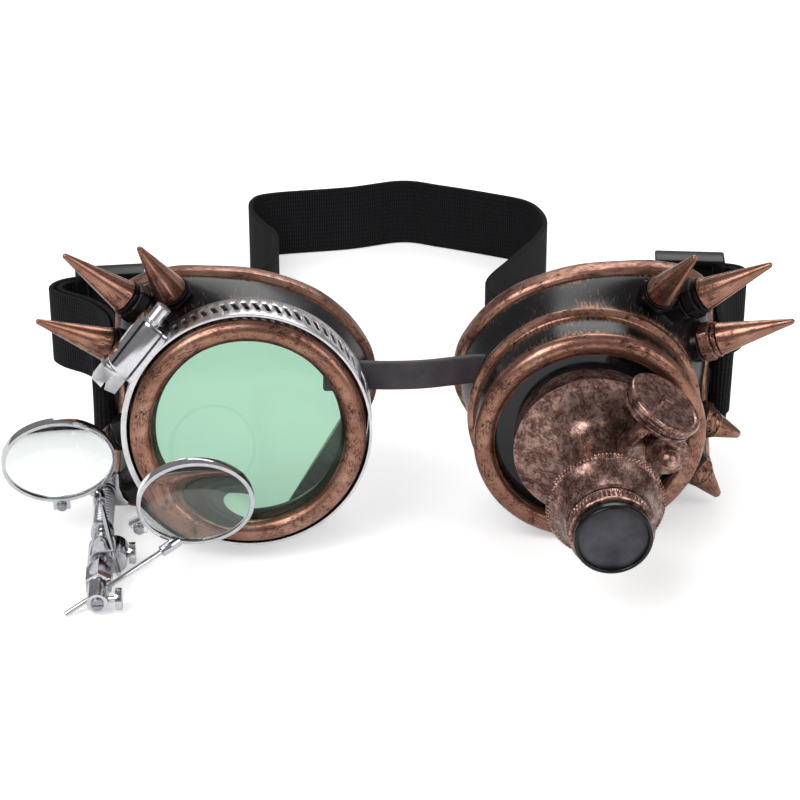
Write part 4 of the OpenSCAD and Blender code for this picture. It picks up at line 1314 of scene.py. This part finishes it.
@dataclass
class Straps:
    """The elastic head strap, its sliders and bars, and the nose strap."""

    wardrobe: Wardrobe
    width: float = 22.0
    thick: float = 1.5
    bar: float = 1.15
    low: float = 10.6
    right_run: Sequence[Sequence[float]] = (
        (79.6, 50, 32.4), (80.6, 60, 34), (84.6, 67, 35.4), (88.6, 72, 36), (88.4, 77.4, 36),
        (83, 79.8, 36), (74.5, 80, 36))
    back_run: Sequence[Sequence[float]] = (
        (66, 81.4, 36), (56, 86, 32.5), (44, 95, 23.5), (33, 107, 15), (24.5, 116, 11.6),
        (21, 124, 10.6), (22, 133, 10.6), (29, 148, 10.6), (37, 165, 10.6), (41, 178, 10.6),
        (40, 190, 10.6), (35.6, 199, 10.6), (26, 205, 10.6), (8, 213.5, 10.6),
        (-5, 218, 10.6), (-23, 211.5, 10.6), (-48, 206, 10.6), (-54, 200, 10.6),
        (-53.5, 189, 10.6), (-49, 178, 10.6), (-45, 169, 10.6), (-44.6, 156, 10.6),
        (-47, 142, 10.6), (-58, 126, 12), (-69, 106, 19.6), (-73, 93, 28.6),
        (-78, 84.4, 31.2))
    left_run: Sequence[Sequence[float]] = (
        (-86.3, 82.3, 31), (-94, 82.2, 31), (-99.6, 79.6, 31), (-101.6, 74.8, 31),
        (-98.4, 70, 31), (-91.5, 65, 31), (-86, 58, 31), (-83.2, 50, 31), (-82.6, 41, 31.3))

    def wrap(self, centre: np.ndarray, heading: float) -> np.ndarray:
        """Half a turn of the strap round a bar."""
        r = self.bar + 0.3 + self.thick / 2
        k = np.radians(heading + 180 + np.arange(-90, 91, 15))
        return centre + r * np.stack([np.cos(k), np.sin(k), 0 * k], 1)

    def inner(self, outer: np.ndarray, steps: int) -> np.ndarray:
        """The returning layer: the outer run moved sideways by a gap that narrows.

        The gap falls evenly from the wrap's width to one strap and 0.6 mm.
        """
        r = self.bar + 0.3 + self.thick / 2
        gap = np.interp(np.arange(len(outer)), [0, steps], [2 * r, self.thick + 0.6])
        t = np.gradient(outer, axis=0)
        n = np.stack([-t[:, 1], t[:, 0], 0 * t[:, 0]], 1)
        n /= np.linalg.norm(n, axis=1, keepdims=True)
        return outer + gap[:, None] * n

    def route(self) -> tuple[np.ndarray, np.ndarray]:
        """The strap's whole path and the direction of its width.

        Returns:
            Centre points in the row frame, and the width direction at each.
        """
        bar_r = RIGHT.put(np.array([38.4, 0, -31])) - SHIFT
        bar_l = LEFT.put(np.array([-38.4, 0, -31])) - SHIFT
        right, left = np.array(self.right_run, float), np.array(self.left_run, float)
        turn_r = math.degrees(math.atan2(*(right[0] - bar_r)[[1, 0]])) - 7
        turn_l = math.degrees(math.atan2(*(left[-1] - bar_l)[[1, 0]])) + 7
        wrap_r, wrap_l = self.wrap(bar_r, turn_r), self.wrap(bar_l, turn_l)
        k = 8
        outer_r = spline(np.vstack([wrap_r[-1:], right]), k)
        outer_l = spline(np.vstack([left, wrap_l[:1]]), k)
        steps = int(4 * k / 3)
        inner_r = self.inner(outer_r, steps)[:0:-1]
        t = np.gradient(outer_l, axis=0)
        n = np.stack([-t[:, 1], t[:, 0], 0 * t[:, 0]], 1)
        n /= np.linalg.norm(n, axis=1, keepdims=True)
        r = self.bar + 0.3 + self.thick / 2
        gap = np.interp(np.arange(len(outer_l)), [0, steps], [2 * r, self.thick + 0.6])
        inner_l = (outer_l + gap[::-1][:, None] * n)[-2::-1]
        back = spline(np.vstack([right[-1:], self.back_run, left[:1]]), k)
        path = np.vstack([inner_r, wrap_r, outer_r[1:-1], back, outer_l[1:-1], wrap_l,
                          inner_l])
        keep = np.concatenate([[True], np.linalg.norm(np.diff(path, axis=0), axis=1) > 0.02])
        path = path[keep]
        path[:, 2] = np.maximum(path[:, 2], self.low)
        near_r = np.clip(np.linalg.norm(path - bar_r, axis=1) / 25, 0, 1)[:, None]
        near_l = np.clip(np.linalg.norm(path - bar_l, axis=1) / 25, 0, 1)[:, None]
        up = np.where(near_r < 1, (1 - near_r) * RIGHT.y + near_r * [0, 0, 1],
                      (1 - near_l) * LEFT.y + near_l * [0, 0, 1])
        return path + SHIFT, up

    def nose(self) -> Surface:
        """The nose strap: a flat rubber ribbon with a headed end inside each cup."""
        line = spline(np.array([[-22.5, 17.2], [-15.5, 17.3], [-8, 17], [0, 17.6],
                                [7, 19.3], [13.4, 21.1], [20.4, 21.3]]), 8)
        path = np.column_stack([line, np.full(len(line), 41.6)]) + SHIFT
        up = np.broadcast_to([0.0, 0.0, 1.0], path.shape)
        parts = [flat_band(path, up, 7.5, 2.0, 0.6)]
        heads = ((LEFT, [[16.2, 3.6], [25, 3.6], [25, 8.5], [22, 14], [16.2, 14]]),
                 (RIGHT, [[-18.4, 4], [-18.4, 16], [-20.6, 16], [-24.6, 9.6], [-24.6, 4]]))
        for frame, corners in heads:
            ring = rounded(corners, 0.8)
            local = np.stack([np.column_stack([ring, np.full(len(ring), a)])
                              for a in (-17.0, -15.0)])
            parts.append(tube_surface(frame.put(local)))
        return Surface.joined(parts)

    def build(self) -> None:
        """Make and dress the straps and their fittings."""
        w = self.wardrobe
        path, up = self.route()
        band = flat_band(path, up, self.width, self.thick, 0.5)
        make_piece("elastic_band", band, [w.elastic], "frame_body", ["head_strap"],
                   60)
        make_piece("nose_ribbon", self.nose(), [w.nose_rubber], "frame_body",
                   ["nose_strap"], 50)
        dress("strap_slider_left", w.slider, 0.5)
        dress("strap_slider_right", w.slider, 0.5)
        dress("strap_bars", w.plain_steel, 0.15)


# Stage


@dataclass
class Studio:
    """The pale floor, soft lights and the photograph's viewpoint."""

    eye: Sequence[float] = (0.4, -592.5, 280.2)
    tilt: float = 64.8
    lens: float = 102.06
    mirror: float = 0.22
    ambient: float = 0.5
    flags: Sequence[tuple[str, Sequence[float], float, float]] = (
        ("flag_left", (-0.75, -0.15, 0.35), 0.22, 0.9),
        ("flag_right", (0.75, -0.2, 0.35), 0.22, 0.9),
        ("flag_over", (0.05, -0.3, 0.95), 0.5, 0.16),
        ("flag_front", (0.05, -1.1, 0.5), 0.3, 0.3))

    def camera(self) -> None:
        """Place the camera where the photograph was taken from."""
        data = bpy.data.cameras.new("viewpoint")
        data.lens, data.sensor_width = self.lens, 36.0
        data.clip_start, data.clip_end = 0.01, 50.0
        obj = bpy.data.objects.new("viewpoint", data)
        obj.location = [k * MM for k in self.eye]
        obj.rotation_euler = (math.radians(self.tilt), 0.0, 0.0)
        bpy.context.scene.collection.objects.link(obj)
        bpy.context.scene.camera = obj

    def lamp(self, name: str, place: Sequence[float], aim: Sequence[float], size: float,
             power: float) -> None:
        """Add one soft square lamp.

        Args:
            name: The lamp's name.
            place: Where it hangs, in metres.
            aim: What it points at, in metres.
            size: Its side in metres.
            power: Its power in watts.
        """
        data = bpy.data.lights.new(name, "AREA")
        data.size, data.energy = size, power
        obj = bpy.data.objects.new(name, data)
        obj.location = place
        way = np.array(aim, float) - np.array(place, float)
        obj.rotation_euler = Vector(way).to_track_quat("-Z", "Y").to_euler()
        bpy.context.scene.collection.objects.link(obj)

    def black_flags(self) -> None:
        """Hang dark cards that only mirror-like surfaces see, for crisp dark streaks."""
        material = bpy.data.materials.new("flag_black")
        material.use_nodes = True
        shader = material.node_tree.nodes["Principled BSDF"]
        shader.inputs["Base Color"].default_value = linear("#050505")
        shader.inputs["Roughness"].default_value = 1.0
        for name, place, wide, tall in self.flags:
            mesh = bpy.data.meshes.new(name)
            to = np.array([0.0, -0.1, 0.03]) - np.array(place)
            side = np.cross(to, [0, 0, 1.0])
            side /= np.linalg.norm(side)
            up = np.cross(side, to)
            up /= np.linalg.norm(up)
            mesh.from_pydata([tuple(np.array(place) + a * wide * side + b * tall * up)
                              for a, b in ((-0.5, -0.5), (0.5, -0.5), (0.5, 0.5),
                                           (-0.5, 0.5))], [], [(0, 1, 2, 3)])
            mesh.materials.append(material)
            obj = bpy.data.objects.new(name, mesh)
            bpy.context.scene.collection.objects.link(obj)
            obj.visible_camera = False
            obj.visible_diffuse = False
            obj.visible_shadow = False
            obj.visible_transmission = False
            obj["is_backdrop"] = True

    def world(self) -> None:
        """White to the camera and through glass, half to diffuse rays, dim to glossy ones."""
        world = bpy.data.worlds.new("studio")
        bpy.context.scene.world = world
        world.use_nodes = True
        tree = world.node_tree
        tree.nodes.clear()
        ray = add_node(tree, "ShaderNodeLightPath")
        seen = add_node(tree, "ShaderNodeMath", {"operation": "MAXIMUM"},
                        {0: ray.outputs["Is Camera Ray"],
                         1: ray.outputs["Is Transmission Ray"]})
        level = add_node(tree, "ShaderNodeMapRange",
                         {"To Min": self.ambient, "To Max": 1.0},
                         {"Value": seen.outputs[0]})
        dimmed = add_node(tree, "ShaderNodeMath",
                          {"operation": "MULTIPLY_ADD", 1: self.mirror - self.ambient},
                          {0: ray.outputs["Is Glossy Ray"], 2: level.outputs["Result"]})
        sky = add_node(tree, "ShaderNodeBackground", {"Color": (1, 1, 1, 1)},
                       {"Strength": dimmed.outputs[0]})
        add_node(tree, "ShaderNodeOutputWorld", links={"Surface": sky.outputs[0]})

    def floor(self) -> None:
        """A wide white floor that keeps the object's shadow."""
        mesh = bpy.data.meshes.new("floor")
        mesh.from_pydata([(-6, -6, 0), (6, -6, 0), (6, 6, 0), (-6, 6, 0)], [], [(0, 1, 2, 3)])
        obj = bpy.data.objects.new("floor", mesh)
        obj.location = (0, 0, -0.0002)
        bpy.context.scene.collection.objects.link(obj)
        material = bpy.data.materials.new("white_floor")
        material.use_nodes = True
        tree = material.node_tree
        tree.nodes.clear()
        ray = add_node(tree, "ShaderNodeLightPath")
        seen = add_node(tree, "ShaderNodeMath", {"operation": "MAXIMUM"},
                        {0: ray.outputs["Is Camera Ray"],
                         1: ray.outputs["Is Transmission Ray"]})
        lift = add_node(tree, "ShaderNodeMath", {"operation": "MULTIPLY", 1: 0.42},
                        {0: seen.outputs[0]})
        plain = add_node(tree, "ShaderNodeBsdfDiffuse", {"Color": (0.86, 0.86, 0.86, 1)})
        glow = add_node(tree, "ShaderNodeEmission", {"Color": (1, 1, 1, 1)},
                        {"Strength": lift.outputs[0]})
        both = add_node(tree, "ShaderNodeAddShader", None,
                        {0: plain.outputs[0], 1: glow.outputs[0]})
        add_node(tree, "ShaderNodeOutputMaterial", links={"Surface": both.outputs[0]})
        mesh.materials.append(material)
        obj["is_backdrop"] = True

    def build(self) -> None:
        """Set up the whole studio."""
        bpy.context.scene.view_settings.view_transform = "Standard"
        self.camera()
        self.world()
        self.floor()
        self.black_flags()
        self.lamp("key", (-0.5, -0.7, 0.9), (0, -0.1, 0), 0.7, 7.0)
        self.lamp("fill", (0.8, -0.5, 0.6), (0, -0.1, 0), 0.8, 4.0)
        self.lamp("back", (0.1, 0.8, 0.8), (0, 0, 0), 0.7, 4.0)


LEFT_SPIKES = (Spike(-23, 30.9, 123.7, 113, 37), Spike(-20, 35.7, 135.7, 137.4, 17.4),
               Spike(-20, 32.9, 154.8, 151.5, 21.3),
               Spike(-20, 29.4, 191.6, 206.8, -4, True))
RIGHT_SPIKES = (Spike(-21, 31.2, 57.5, 69.6, 35.3), Spike(-20, 35.7, 47.4, 36.7, 18.4),
                Spike(-20, 31.8, 27.5, 23.7, 16.1, copper_nut=True),
                Spike(-20, 29.4, -11.6, -26.8, -4, True, True),
                Spike(-16.6, 32.4, -30.6, -52, 0, True, True))


def corners() -> list[list[float]]:
    """The shown object's lowest and highest corner as plain lists."""
    return [[float(k) for k in c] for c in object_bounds()]


def main() -> None:
    """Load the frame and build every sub-assembly."""
    logging.basicConfig(level=logging.INFO, format="%(message)s")
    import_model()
    Studio().build()
    wardrobe = Wardrobe()
    Straps(wardrobe).build()
    Eyecup("left", LEFT, LEFT_SPIKES, wardrobe).build()
    Eyecup("right", RIGHT, RIGHT_SPIKES, wardrobe).build()
    Ocular(wardrobe).build()
    ClipAndLoupes(wardrobe).build()


if __name__ == "__main__":
    main()
